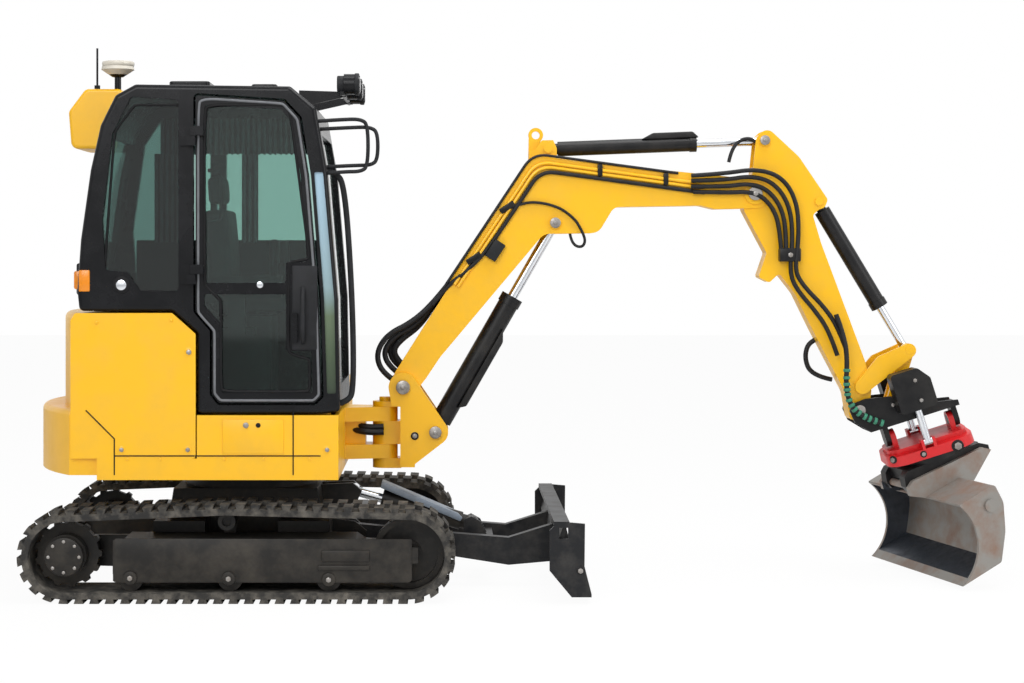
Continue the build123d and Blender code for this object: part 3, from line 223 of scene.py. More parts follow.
# %% [markdown]
# ## Bare metal and glass
# Cylinder rods are hard chrome. The bucket is bare worn steel with rust where it isn't scoured. Both
# take the recipe of the coats with the metallic value raised, and the second colour is then the rust or
# the dull film on the metal.

# %% Metals


def bare_metal(name, colour, second, share, roughness, patch_mm, metallic=1.0):
    made = coat(name, colour, second, share, roughness, patch_mm=patch_mm, peel_mm=5.0)
    made.node_tree.nodes["Principled BSDF"].inputs["Metallic"].default_value = metallic
    return made


# Hard chrome, ground and polished: a bright mirror.
chrome = bare_metal("hard_chrome", "D9DCE0", "B9BDC3", 0.5, 0.10, 120.0)
# Turned pin steel, oiled and dulled by a little rust.
pin_steel = bare_metal("turned_steel", "9A9794", "6E655C", 0.7, 0.38, 40.0)
# Mild steel of the bucket: bare where it wears and brown where it rusts.
worn_steel = bare_metal("worn_bucket_steel", "8B8883", "8A5A3C", 0.55, 0.50, 110.0, metallic=0.5)
# Inside of the bucket: smoother where soil scours it, and darker as painted shade in its hollow.
scoured_and_shaded_steel = bare_metal("scoured_inside_steel_painted_shade", "4A4F57", "2E3136", 0.8, 0.36, 70.0, metallic=0.6)
print("metals made")

# %% [markdown]
# The cab glass is tinted green, and thin enough that the seat shows. A thin film of dust makes its
# roughness uneven.

# %% Tinted glass


def tinted_glass(name, tint):
    made = bpy.data.materials.new(name)
    made.use_nodes = True
    tree = made.node_tree
    skin = tree.nodes["Principled BSDF"]
    skin.inputs["Base Color"].default_value = linear(tint)
    skin.inputs["Transmission Weight"].default_value = 1.0
    skin.inputs["IOR"].default_value = 1.45
    skin.inputs["Specular IOR Level"].default_value = 0.2
    place = add_node(tree, "ShaderNodeTexCoord").outputs["Object"]
    haze = add_node(tree, "ShaderNodeTexNoise", {"Scale": pattern_scale(90.0)}, {"Vector": place})
    film = add_node(
        tree, "ShaderNodeMapRange", {"To Min": 0.01, "To Max": 0.06}, {"Value": haze.outputs["Fac"]}
    )
    tree.links.new(film.outputs["Result"], skin.inputs["Roughness"])
    return made


cab_glass = tinted_glass("tinted_cab_glass", "A9C9C1")
dark_glass = tinted_glass("dark_quarter_glass", "6F8A86")
lamp_lens = tinted_glass("lamp_lens", "F2F4F2")
print("tinted glass made")

# %% [markdown]
# The narrow strip of glass beside the windscreen is seen almost edge on, and there it is more mirror than
# window. Its reflection is painted into its colour: green low down and pale blue above, as a ramp over
# its height in metres.

# %% Strip glass
STRIP_LOW = 0.95
STRIP_HIGH = 1.95
reflection_stops = ((0.0, "3F4A3C"), (0.35, "5F7156"), (0.48, "8FA9B0"), (1.0, "A9C8DC"))


def painted_reflection_glass(name, stops, low, high):
    made = bpy.data.materials.new(name)
    made.use_nodes = True
    tree = made.node_tree
    skin = tree.nodes["Principled BSDF"]
    skin.inputs["Roughness"].default_value = 0.06
    place = add_node(tree, "ShaderNodeTexCoord").outputs["Object"]
    height = add_node(tree, "ShaderNodeSeparateXYZ", links={"Vector": place}).outputs["Z"]
    share = add_node(tree, "ShaderNodeMapRange", {"From Min": low, "From Max": high}, {"Value": height})
    ramp = add_node(tree, "ShaderNodeValToRGB", links={"Fac": share.outputs["Result"]})
    while len(ramp.color_ramp.elements) < len(stops):
        ramp.color_ramp.elements.new(0.5)
    for element, (position, code) in zip(ramp.color_ramp.elements, stops):
        element.position = position
        element.color = linear(code)
    tree.links.new(ramp.outputs["Color"], skin.inputs["Base Color"])
    return made


# The ramp is a painted reflection of trees and sky, not the glass's own colour.
painted_reflection_strip = painted_reflection_glass("strip_glass_painted_reflection", reflection_stops, STRIP_LOW, STRIP_HIGH)
print("strip glass from", STRIP_LOW, "to", STRIP_HIGH)

# %% [markdown]
# ## A finish for every solid
# Each node of the frame takes one of these finishes in every slot that it has. The names that are
# left over are printed, so that no solid is forgotten.

# %% Dress the frame
finishes = {
    yellow_coat: "boom boom_bracket stick rear_hood access_panel sill_panel far_body counterweight "
    "swing_post rocker lower_link deck rear_cap",
    black_coat: "track_frame_near track_frame_far carbody slew_ring engine_block blade_cylinder "
    "sprocket_near sprocket_far idler_near idler_far rollers_near rollers_far",
    blade_coat: "blade",
    cab_coat: "cab_roof cab_front cab_rear cab_floor cab_near_wall cab_far_wall door roof_gear lamp_bar "
    "antennas",
    track_rubber: "track_near track_far",
    cab_glass: "windscreen rear_glass far_glass door_glass",
    dark_glass: "quarter_glass",
    painted_reflection_strip: "strip_glass",
    tool_coat: "tool_head quick_hitch boom_cylinder stick_cylinder bucket_cylinder",
    chrome: "boom_rod stick_rod bucket_rod blade_rod tilt_rod_near tilt_rod_far",
    red_coat: "rotor_housing",
    worn_steel: "bucket",
    seat_cloth: "seat",
    grained_plastic: "seat_box",
}
for finish, names in finishes.items():
    for name in names.split():
        slots = nodes[name].data.materials
        if not slots:
            slots.append(finish)
        for index in range(len(slots)):
            slots[index] = finish
left = set(nodes) - {name for names in finishes.values() for name in names.split()}
print("without a finish:", sorted(left))

# %% [markdown]
# ## Camera
# The machine is seen from the side, level, from ten metres away. The lens is level with the point where
# the lines of the tracks and the blade meet, and the frame is shifted to hold the whole machine.

# %% Camera
PHOTO_WIDE = 1024
PHOTO_TALL = 683
CAMERA_AWAY = 10.0
CAMERA_HIGH = 1.58
CAMERA_AHEAD = 0.9515
VANISH = (446.0, 254.5)
PIXELS_PER_METRE = 204.08

scene = bpy.context.scene
lens = bpy.data.cameras.new("side_camera")
lens.sensor_width = 36.0
lens.lens = PIXELS_PER_METRE * CAMERA_AWAY * lens.sensor_width / PHOTO_WIDE
lens.shift_x = (PHOTO_WIDE / 2 - VANISH[0]) / PHOTO_WIDE
lens.shift_y = (VANISH[1] - PHOTO_TALL / 2) / PHOTO_WIDE
lens.clip_end = 100.0
camera = bpy.data.objects.new("side_camera", lens)
scene.collection.objects.link(camera)
camera.location = (SLEW_X + CAMERA_AHEAD, -CAMERA_AWAY, CAMERA_HIGH)
camera.rotation_euler = (math.radians(90.0), 0.0, 0.0)
scene.camera = camera
print("lens", round(lens.lens, 1), "mm, shift", round(lens.shift_x, 3), round(lens.shift_y, 3))

# %% [markdown]
# ## Floor and light
# A pale floor and a pale surround stand for the studio. The floor glows a little to the camera alone,
# so that it is nearly white and still shows the shadow of the machine.

# %% Floor
FLOOR_SIZE = 60.0
FLOOR_GLOW = 0.95
scene.view_settings.view_transform = "Standard"
bpy.ops.object.select_all(action="DESELECT")
bpy.ops.mesh.primitive_plane_add(size=FLOOR_SIZE, location=(0.0, 0.0, -0.001))
floor = bpy.context.object
floor.name = "studio_floor"
paper = bpy.data.materials.new("floor_paper")
paper.use_nodes = True
tree = paper.node_tree
matte = tree.nodes["Principled BSDF"]
matte.inputs["Base Color"].default_value = linear("F4F4F4")
matte.inputs["Roughness"].default_value = 0.9
seen = add_node(tree, "ShaderNodeLightPath")
glow = add_node(tree, "ShaderNodeEmission", {"Color": (1.0, 1.0, 1.0, 1.0), "Strength": 1.0})
lift = add_node(
    tree, "ShaderNodeMath", {1: FLOOR_GLOW}, {0: seen.outputs["Is Camera Ray"]}, operation="MULTIPLY"
)
sheet = add_node(
    tree,
    "ShaderNodeMixShader",
    links={0: lift.outputs["Value"], 1: matte.outputs["BSDF"], 2: glow.outputs["Emission"]},
)
tree.links.new(sheet.outputs["Shader"], tree.nodes["Material Output"].inputs["Surface"])
floor.data.materials.append(paper)
print("floor", FLOOR_SIZE, "m wide")

# %% [markdown]
# The surround is white to the camera and to what glass and metal reflect, and a plain soft grey as a
# lamp, so the paint keeps its colour.

# %% Surround
surround = bpy.data.worlds.new("studio_surround")
scene.world = surround
surround.use_nodes = True
tree = surround.node_tree
seen = add_node(tree, "ShaderNodeLightPath")
either = add_node(
    tree,
    "ShaderNodeMath",
    links={0: seen.outputs["Is Camera Ray"], 1: seen.outputs["Is Glossy Ray"]},
    operation="MAXIMUM",
)
any_sight = add_node(
    tree,
    "ShaderNodeMath",
    links={0: either.outputs["Value"], 1: seen.outputs["Is Transmission Ray"]},
    operation="MAXIMUM",
)
strength = add_node(
    tree, "ShaderNodeMapRange", {"To Min": 0.42, "To Max": 1.0}, {"Value": any_sight.outputs["Value"]}
)
sky = tree.nodes["Background"]
sky.inputs["Color"].default_value = (1.0, 1.0, 1.0, 1.0)
tree.links.new(strength.outputs["Result"], sky.inputs["Strength"])
print("surround ready")

# %% [markdown]
# One wide lamp lights the side of the machine, another hangs above, and a weaker one stands in front.

# %% Lamps
MIDDLE = (0.0, 0.0, 1.2)


def soft_lamp(name, place, aim, size, power):
    made = bpy.data.lights.new(name, "AREA")
    made.energy = power
    made.size = size
    holder = bpy.data.objects.new(name, made)
    scene.collection.objects.link(holder)
    holder.location = place
    holder.rotation_euler = (Vector(aim) - Vector(place)).to_track_quat("-Z", "Y").to_euler()


soft_lamp("side_lamp", (-3.0, -9.0, 6.0), MIDDLE, 5.0, 420.0)
soft_lamp("top_lamp", (1.5, -1.0, 8.0), MIDDLE, 5.0, 420.0)
soft_lamp("front_lamp", (8.0, -5.0, 4.0), MIDDLE, 4.0, 160.0)
print("lamps ready")

# %% [markdown]
# ## Hand tools for the new pieces
# Every added piece starts from a primitive or a line, is shaped in edit mode, and then gets its
# finish, its smooth edges and the body that it moves with. These first helpers do what every piece
# needs: they select it alone, round its edges, and settle it with its place in its mesh.

# %% Select, round and settle
SMOOTH_UNDER = math.radians(35.0)


def lone(obj):
    bpy.ops.object.select_all(action="DESELECT")
    obj.select_set(True)
    bpy.context.view_layer.objects.active = obj


def settle(obj, name, finish, body):
    lone(obj)
    obj.name = name
    bpy.ops.object.transform_apply(location=True, rotation=True, scale=True)
    obj.data.materials.clear()
    obj.data.materials.append(finish)
    bpy.ops.object.shade_smooth_by_angle(angle=SMOOTH_UNDER)
    if body:
        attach(obj, body)
    return obj


def round_edges(obj, width):
    lone(obj)
    bpy.ops.object.transform_apply(location=True, rotation=True, scale=True)
    bpy.ops.object.mode_set(mode="EDIT")
    bpy.ops.mesh.select_all(action="SELECT")
    bpy.ops.mesh.bevel(offset=width, segments=2, affect="EDGES", clamp_overlap=True)
    bpy.ops.object.mode_set(mode="OBJECT")


# %% [markdown]
# A block is a cube with bevelled edges, and it can lean: it is then turned in edit mode about its own
# middle. A disc is a short cylinder with bevelled rims, and a bolt head is a disc with six sides.

# %% Blocks, discs and bolts
TO_NEAR_SIDE = (0, -1, 0)


def block(name, low, high, bevel_mm, finish, body, lean=0.0):
    bpy.ops.object.select_all(action="DESELECT")
    middle = (low + high) / 2
    bpy.ops.mesh.primitive_cube_add(size=1.0, location=middle, scale=high - low)
    made = bpy.context.object
    round_edges(made, bevel_mm * MM)
    if lean:
        bpy.ops.object.mode_set(mode="EDIT")
        bpy.ops.mesh.select_all(action="SELECT")
        bpy.ops.transform.rotate(value=lean, orient_axis="Y", center_override=middle)
        bpy.ops.object.mode_set(mode="OBJECT")
    return settle(made, name, finish, body)


def disc(name, centre, axis, radius_mm, depth_mm, bevel_mm, finish, body, sides=32):
    bpy.ops.object.select_all(action="DESELECT")
    turn = Vector(axis).to_track_quat("Z", "Y").to_euler()
    bpy.ops.mesh.primitive_cylinder_add(
        vertices=sides, radius=radius_mm * MM, depth=depth_mm * MM, location=centre, rotation=turn
    )
    made = bpy.context.object
    round_edges(made, bevel_mm * MM)
    return settle(made, name, finish, body)


def bolt_head(name, centre, axis, across_mm, body, finish=pin_steel):
    height = 0.45 * across_mm
    return disc(name, centre, axis, across_mm / 2, height, 0.08 * across_mm, finish, body, sides=6)


# %% [markdown]
# A tube follows a smooth curve through its points, and becomes a mesh once it has its thickness. A
# plate starts as one flat face with the outline that is seen from the side, and is extruded across the
# machine. The points of both are mostly given as seen from the side.

# %% Tubes and plates


def along_side(run, across):
    return [spot(ahead, across, height) for ahead, height in run]


def line(name, points, closed=False):
    path = bpy.data.curves.new(name, "CURVE")
    path.dimensions = "3D"
    run = path.splines.new("NURBS")
    run.points.add(len(points) - 1)
    for index, point in enumerate(points):
        run.points[index].co = (*point, 1.0)
    run.order_u = 3
    run.use_cyclic_u = closed
    run.use_endpoint_u = not closed
    run.resolution_u = 8
    made = bpy.data.objects.new(name, path)
    scene.collection.objects.link(made)
    return made


def tube(name, points, radius_mm, finish, body, closed=False):
    made = line(name, points, closed)
    made.data.bevel_depth = radius_mm * MM
    made.data.bevel_resolution = 3
    made.data.use_fill_caps = True
    lone(made)
    bpy.ops.object.convert(target="MESH")
    return settle(bpy.context.object, name, finish, body)


def sheet_metal(name, outline, y_low, y_high, bevel_mm, finish, body):
    base = bpy.data.meshes.new(name)
    corners = along_side(outline, y_low)
    base.from_pydata(corners, [], [list(range(len(corners)))])
    made = bpy.data.objects.new(name, base)
    scene.collection.objects.link(made)
    lone(made)
    depth = (0.0, (y_high - y_low) * MM, 0.0)
    bpy.ops.object.mode_set(mode="EDIT")
    bpy.ops.mesh.select_all(action="SELECT")
    bpy.ops.mesh.extrude_region_move(TRANSFORM_OT_translate={"value": depth})
    bpy.ops.mesh.select_all(action="SELECT")
    bpy.ops.mesh.normals_make_consistent(inside=False)
    bpy.ops.object.mode_set(mode="OBJECT")
    round_edges(made, bevel_mm * MM)
    return settle(made, name, finish, body)


# %% [markdown]
# A fitting that sits on the side of a solid needs the real place of that side. A straight line from
# the near side finds where it first meets the solid, and which way the surface faces there.

# %% The near side of a solid
FAR_OFF = -2000.0


def near_side(name, ahead, height):
    hit = nodes[name].ray_cast(spot(ahead, FAR_OFF, height), (0.0, 1.0, 0.0))
    return hit[1], hit[2]


DOOR_FACE = near_side("door", 300, 1250)[0].y / MM
WALL_FACE = near_side("cab_near_wall", -235, 1800)[0].y / MM
print("door face at", round(DOOR_FACE, 1), "wall face at", round(WALL_FACE, 1))

# %% [markdown]
# ## Hoses and pipes
# Oil goes to the cylinders through black rubber hoses where something moves, and through yellow steel
# pipes where nothing does. The hoses leave the post in a wide loop, climb the back of the boom, run on
# its top and droop over the joint to the stick. A hose that crosses a joint is set on no body, and the
# ones on a single body just ride on it.

# %% Hoses of the boom foot
FOOT_HOSE = 14.0
FOOT_LANES = (-54.0, -27.0, 0.0, 27.0)
FOOT_END = (972, 1449)
foot_runs = {
    "foot_hose_outer": ((760, 930), (655, 985), (606, 1085), (660, 1188), (790, 1252), (897, 1352)),
    "foot_hose_middle": ((775, 965), (695, 1010), (640, 1095), (690, 1176), (812, 1240), (902, 1350)),
    "foot_hose_inner": ((790, 990), (735, 1040), (690, 1105), (728, 1160), (826, 1230), (905, 1352)),
    "foot_hose_far": ((795, 985), (715, 1030), (668, 1100), (705, 1172), (815, 1238), (905, 1352)),
}
for across, (name, run) in zip(FOOT_LANES, foot_runs.items()):
    hose = tube(name, along_side((*run, FOOT_END), across), FOOT_HOSE, hose_rubber, None)
    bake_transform(hose)
print("boom foot hoses:", len(foot_runs))

# %% [markdown]
# Three more hoses pass from the house to the swing post between its two ears. The house and the post
# turn against each other there, so these are set on no body too.

# %% Hoses of the post
POST_HOSE = 15.0
post_runs = {
    "post_hose_near": (-34.0, -78.0, 728),
    "post_hose_middle": (0.0, -66.0, 752),
    "post_hose_far": (34.0, 78.0, 728),
}
for name, (start_across, end_across, height) in post_runs.items():
    route = [spot(430, start_across, height), spot(490, start_across, height)]
    route += [spot(545, end_across, height - 8), spot(600, end_across, height - 14)]
    route.append(spot(648, end_across, height - 10))
    hose = tube(name, route, POST_HOSE, hose_rubber, None)
    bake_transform(hose)
print("post hoses:", len(post_runs))

# %% [markdown]
# The pipes on the boom follow its back edge up to the knee and its top edge from there. Each one keeps
# its own distance from the edge, so one function gives a line at a given distance, with the corner
# where the two offset edges meet.

# %% Pipes along the boom
LEG_START = Vector((800.0, 1160.0))
LEG_END = Vector((1340.0, 1985.0))
KNEE = Vector((1385.0, 2045.0))
TOP_END = Vector((2250.0, 1928.0))
BEND_REACH = 150.0


def edge_line(away, start_share, end_share):
    leg = (LEG_END - LEG_START).normalized()
    top = (TOP_END - KNEE).normalized()
    leg_out = Vector((-leg.y, leg.x))
    top_out = Vector((-top.y, top.x))
    corner = KNEE + away * (leg_out + top_out) / (1.0 + leg_out.dot(top_out))
    start = LEG_START.lerp(LEG_END, start_share) + away * leg_out
    end = KNEE.lerp(TOP_END, end_share) + away * top_out
    return [start, corner - BEND_REACH * leg, corner, corner + BEND_REACH * top, end]


boom_lines = {
    "boom_pipe_upper": (11.0, -62.0, 0.34, 0.93, 8.0, yellow_coat),
    "boom_pipe_middle": (-11.0, -81.0, 0.34, 0.93, 8.0, yellow_coat),
    "boom_pipe_lower": (-31.0, -81.0, 0.34, 0.93, 8.0, yellow_coat),
    "boom_side_hose": (-53.0, -83.0, 0.55, 0.96, 10.0, hose_rubber),
    "boom_back_hose": (13.0, 60.0, 0.34, 0.90, 10.0, hose_rubber),
    "boom_near_hose": (24.0, -79.0, 0.30, 0.80, 7.0, hose_rubber),
}
side_hose_foot = [spot(885, -66, 1336), spot(955, -72, 1424), spot(1040, -83, 1490)]
for name, (away, across, start_share, end_share, radius, finish) in boom_lines.items():
    route = along_side(edge_line(away, start_share, end_share), across)
    if name == "boom_side_hose":
        route = side_hose_foot + route
    tube(name, route, radius, finish, "boom_arm")
print("boom lines:", len(boom_lines))

# %% [markdown]
# Six-sided couplings join the hoses of the foot to the pipes. Short steel straps hold the pipes on the
# boom's side: two across its leg, which lean as the leg does, and two across its top.

# %% Couplings and straps
LEG_LEAN = math.radians(33.2)
TOP_FALL = 0.135
for index, across in enumerate(FOOT_LANES):
    joint = spot(975, across, 1453)
    leg_way = spot(1022, across, 1525) - joint
    disc(f"hose_coupling_{index}", joint, leg_way, 16.0, 60.0, 3.0, pin_steel, "boom_arm", sides=6)
for index, share in enumerate((0.5, 0.8)):
    ahead, height = edge_line(-20.0, share, 0.5)[0]
    low = spot(ahead - 40, -94.0, height - 14)
    high = spot(ahead + 40, -70.0, height + 14)
    block(f"pipe_clamp_{index}", low, high, 4.0, black_coat, "boom_arm", lean=LEG_LEAN)
for index, ahead in enumerate((1700, 2020)):
    height = KNEE.y - TOP_FALL * (ahead - KNEE.x)
    low = spot(ahead - 12, -94, height - 42)
    high = spot(ahead + 12, -52, height + 16)
    block(f"top_clamp_{index}", low, high, 4.0, black_coat, "boom_arm")
print("couplings:", len(FOOT_LANES))

# %% [markdown]
# A thin hose leaves the pipes, bends over the rod's pin and comes back into the boom from below. A
# small sensor box sits beside the pipes on the leg.

# %% Valve hose and sensor box
VALVE_HOSE = 7.0
branch = ((1250, 1800), (1330, 1836), (1440, 1830), (1540, 1790), (1585, 1740))
tube("lock_valve_hose", along_side(branch, -83.0), VALVE_HOSE, hose_rubber, "boom_arm")
drop_loop = [spot(1585, -83, 1740), spot(1630, -82, 1668), spot(1622, -76, 1618)]
drop_loop += [spot(1582, -68, 1618), spot(1556, -60, 1660), spot(1552, -58, 1708)]
tube("lock_valve_loop", drop_loop, VALVE_HOSE, hose_rubber, "boom_arm")
ahead, height = edge_line(-86.0, 0.59, 0.5)[0]
low = spot(ahead - 30, -104.0, height - 48)
high = spot(ahead + 30, -71.0, height + 48)
block("boom_sensor_box", low, high, 6.0, grained_plastic, "boom_arm", lean=-LEG_LEAN)
print("sensor box at", round(ahead), round(height))

# %% [markdown]
# Four hoses go over the joint between boom and stick in a fan that keeps its order. Two of them run on
# down the stick. A short loop feeds the stick's cylinder, and another stands off the stick's back.

# %% Hoses over the stick joint
HOSE = 11.0
TIP_ACROSS = -112.0
joint_runs = {
    "tip_hose_outer": (
        ((2140, 1962), (2300, 1972), (2450, 1995), (2575, 1960), (2648, 1850), (2664, 1690), (2650, 1560))
    ),
    "tip_hose_middle": (
        ((2140, 1938), (2300, 1940), (2430, 1962), (2540, 1930), (2612, 1830), (2634, 1690), (2625, 1560))
    ),
    "tip_hose_inner": (
        ((2140, 1910), (2300, 1908), (2420, 1925), (2510, 1898), (2578, 1810), (2602, 1690), (2600, 1560))
    ),
    "tip_hose_low": (
        ((2150, 1884), (2320, 1880), (2420, 1885), (2490, 1860), (2548, 1790), (2572, 1690), (2580, 1580))
    ),
}
for index, (name, run) in enumerate(joint_runs.items()):
    hose = tube(name, along_side(run, TIP_ACROSS + 5.0 * index), HOSE, hose_rubber, None)
    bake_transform(hose)
stick_runs = {
    "stick_hose_outer": ((2650, 1560), (2640, 1500), (2690, 1420), (2780, 1330), (2850, 1230), (2890, 1120)),
    "stick_hose_inner": ((2625, 1560), (2618, 1480), (2665, 1395), (2740, 1310), (2810, 1210), (2850, 1090)),
}
for index, (name, run) in enumerate(stick_runs.items()):
    tube(name, along_side(run, TIP_ACROSS + 12.0 * index), HOSE, hose_rubber, "stick_arm")
cylinder_loop = ((2330, 2030), (2345, 2100), (2400, 2148), (2460, 2140), (2500, 2085))
loop_hose = tube("cylinder_loop_hose", along_side(cylinder_loop, -48.0), 9.0, hose_rubber, None)
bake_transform(loop_hose)
back_loop = ((2840, 1185), (2745, 1165), (2712, 1080), (2748, 985), (2850, 965))
tube("stick_back_loop", along_side(back_loop, 40.0), 12.0, hose_rubber, "stick_arm")
print("joint hoses:", len(joint_runs), "stick hoses:", len(stick_runs))

# %% [markdown]
# ## The wrapped tool hose
# The line to the tool head is wrapped in a green spiral guard. The hose is one smooth line, and the
# guard is a row of rings along it that leave narrow gaps.

# %% Wrapped tool hose
WRAP_PITCH = 0.022
tool_run = ((2838, 1290), (2880, 1180), (2893, 1060), (2885, 950), (2905, 850), (2975, 790), (3060, 765))
tool_points = along_side(tool_run, -128.0)
core = tube("tool_hose", tool_points, 12.0, hose_rubber, None)
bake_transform(core)
guide = line("tool_hose_guide", tool_points[2:])
guide_mesh = bpy.data.meshes.new_from_object(guide)
course = [vertex.co.copy() for vertex in guide_mesh.vertices]
bpy.data.objects.remove(guide)
bpy.data.meshes.remove(guide_mesh)
rings = []
travelled = 0.0
for before, after in zip(course, course[1:]):
    travelled += (after - before).length
    if travelled < WRAP_PITCH:
        continue
    travelled = 0.0
    ring = disc("wrap_ring", after, after - before, 17.0, 15.0, 3.0, green_wrap, None, sides=16)
    rings.append(ring)
lone(rings[0])
for ring in rings:
    ring.select_set(True)
bpy.ops.object.join()
wrap = bpy.context.object
wrap.name = "tool_hose_wrap"
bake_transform(wrap)
print("wrap rings:", len(rings))

# %% [markdown]
# ## Door, seals and handles
# The cab door is a glazed frame hung at its rear edge. A mid-grey line follows its outline as a painted
# highlight of the light on its edge, and a rubber seal runs round its glass. The seal is a closed tube
# that keeps close to each corner: every side of the outline gives a point near both of its ends and one in
# its middle.

# %% Seals
door_edge_highlight = [(-178, 2293), (208, 2268), (274, 2196), (314, 1936), (359, 1382), (372, 940)]
door_edge_highlight += [(347, 915), (-77, 915), (-103, 948), (-103, 1232), (-157, 1292), (-178, 1318)]
glass_rim = [(-150, 2262), (238, 2262), (330, 1560), (235, 1545), (235, 1130), (330, 1100)]
glass_rim += [(330, 955), (-75, 955), (-75, 1370), (-150, 1440)]
quarter_rim = [(-610, 1470), (-560, 1420), (-235, 1405), (-235, 2262), (-470, 2262), (-560, 2140)]


def seal_loop(name, outline, across_mm, radius_mm, body, finish=seal_rubber):
    rim = []
    corners = along_side(outline, across_mm)
    for start, end in zip(corners, corners[1:] + corners[:1]):
        rim += [start.lerp(end, 0.04), start.lerp(end, 0.5), start.lerp(end, 0.96)]
    return tube(name, rim, radius_mm, finish, body, closed=True)


# The door's rim is a mid-grey tube: a painted highlight of its edge.
seal_loop("door_edge_highlight", door_edge_highlight, DOOR_FACE - 1.0, 6.0, "cab_door", rim_highlight_finish)
seal_loop("door_glass_seal", glass_rim, DOOR_FACE + 3.0, 7.0, "cab_door")
seal_loop("quarter_glass_seal", quarter_rim, WALL_FACE + 9.0, 6.0, "upper")
print("corners of the door's rim:", len(door_edge_highlight))

# %% [markdown]
# A moulded panel by the door's front edge holds the pull handle, a bar crosses the door below the
# middle, and a D-shaped grab bar sits inside. These ride on the door, so they swing with it. The eye
# for the door's stay is on the wall behind the door and stays with the house.

# %% Handles and catches
panel_low = spot(250, DOOR_FACE - 8.0, 1145)
panel_high = spot(366, DOOR_FACE + 4.0, 1530)
block("door_handle_panel", panel_low, panel_high, 10.0, grained_plastic, "cab_door")
handle_run = ((1425, -8.0), (1405, -40.0), (1300, -46.0), (1195, -40.0), (1180, -8.0))
handle = [spot(300, DOOR_FACE + out, height) for height, out in handle_run]
tube("door_pull_handle", handle, 11.0, grained_plastic, "cab_door")
bar_low = spot(-95, DOOR_FACE + 2.0, 1398)
bar_high = spot(250, DOOR_FACE + 26.0, 1440)
block("door_mid_bar", bar_low, bar_high, 8.0, cab_coat, "cab_door")
catch = spot(105, DOOR_FACE - 6.0, 1442)
disc("door_catch_knob", catch, TO_NEAR_SIDE, 15.0, 18.0, 4.0, chrome, "cab_door")
grab_run = ((-140, 1965), (-92, 1965), (-78, 1945), (-78, 1755), (-92, 1735), (-140, 1735))
tube("door_inner_grab", along_side(grab_run, DOOR_FACE + 55.0), 9.0, grained_plastic, "cab_door")
stay_ring = spot(-528, WALL_FACE - 1.0, 1441)
stay_eye = spot(-528, WALL_FACE - 3.0, 1441)
disc("door_stay_ring", stay_ring, TO_NEAR_SIDE, 40.0, 8.0, 6.0, seal_rubber, "upper")
disc("door_stay_eye", stay_eye, TO_NEAR_SIDE, 24.0, 8.0, 5.0, chrome, "upper")
print("handle stands out", round(-min(out for height, out in handle_run)), "mm")

# %% [markdown]
# ## Inside the cab
# Behind the glass one sees a suspension seat with a headrest, two arm consoles with control levers, a
# small monitor and a ribbed sun blind under the roof. The seat's cushions are stuffed, so each one is a
# subdivided block that is crowned in the middle and pulled in at its seams.

# %% A stuffed cushion
SEAT_TILT = math.radians(4.0)
SEAM_AT = 0.55
SEAM_HALF = 0.018


def cushion(name, low, high, crown_mm, axis):
    bpy.ops.object.select_all(action="DESELECT")
    middle = (low + high) / 2
    half = (high - low) / 2
    bpy.ops.mesh.primitive_cube_add(size=1.0, location=middle, scale=high - low)
    made = bpy.context.object
    bpy.ops.object.transform_apply(location=True, rotation=True, scale=True)
    bpy.ops.object.mode_set(mode="EDIT")
    bpy.ops.mesh.select_all(action="SELECT")
    bpy.ops.mesh.bevel(offset=0.022, segments=3, affect="EDGES")
    bpy.ops.mesh.select_all(action="SELECT")
    bpy.ops.mesh.subdivide(number_cuts=3, smoothness=0.0)
    bpy.ops.object.mode_set(mode="OBJECT")
    for vertex in made.data.vertices:
        away = vertex.co - middle
        spread = 1.0
        for lane in range(3):
            if lane != axis:
                spread *= max(0.0, 1.0 - (away[lane] / half[lane]) ** 2)
        seam = 0.55 if abs(abs(away.y) - SEAM_AT * half.y) < SEAM_HALF else 1.0
        sign = 1.0 if away[axis] > 0 else -0.2
        vertex.co[axis] += sign * crown_mm * MM * spread * seam
    bpy.ops.object.mode_set(mode="EDIT")
    bpy.ops.mesh.select_all(action="SELECT")
    bpy.ops.transform.rotate(value=SEAT_TILT, orient_axis="Y", center_override=middle)
    bpy.ops.object.mode_set(mode="OBJECT")
    swell = made.modifiers.new("swell", "SUBSURF")
    swell.levels = 1
    swell.render_levels = 1
    lone(made)
    bpy.ops.object.modifier_apply(modifier=swell.name)
    made = settle(made, name, seat_cloth, "upper")
    return made


# %% [markdown]
# The cushions fill the box of the plain seat solid, which they replace: one to sit on, one for the
# back, and the headrest on its two chromed posts.

# %% Seat
seat_low, seat_high = (Vector(corner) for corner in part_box("seat"))
seat_middle = (seat_low.y + seat_high.y) / 2 / MM
seat_rear = (seat_low.x - SLEW_X) / MM
seat_front = (seat_high.x - SLEW_X) / MM
seat_floor = seat_low.z / MM
seat_top = seat_high.z / MM
base_top = seat_floor + 150.0
base_rear = spot(seat_rear + 70, seat_middle - 225, seat_floor + 20)
base_front = spot(seat_front - 10, seat_middle + 225, base_top - 20)
cushion("seat_cushion", base_rear, base_front, 18.0, 2)
back_low = spot(seat_rear + 20, seat_middle - 215, base_top + 10)
back_high = spot(seat_rear + 130, seat_middle + 215, seat_top - 170)
back = cushion("seat_back", back_low, back_high, 18.0, 0)
head_low = spot(seat_rear + 18, seat_middle - 120, seat_top - 140)
head_high = spot(seat_rear + 95, seat_middle + 120, seat_top - 12)
cushion("seat_headrest", head_low, head_high, 10.0, 0)
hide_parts("seat")
for name, across in (("near", seat_middle - 54.0), ("far", seat_middle + 54.0)):
    route = [spot(seat_rear + 62, across, seat_top - 200), spot(seat_rear + 60, across, seat_top - 120)]
    tube(f"headrest_post_{name}", route, 7.0, chrome, "upper")
print("seat from", round(seat_rear), "to", round(seat_front), "mm")

# %% [markdown]
# A console stands on each side of the seat, with a lever and its grip at the front. Two longer levers
# for the tracks rise from the floor, and the monitor is by the front pillar.

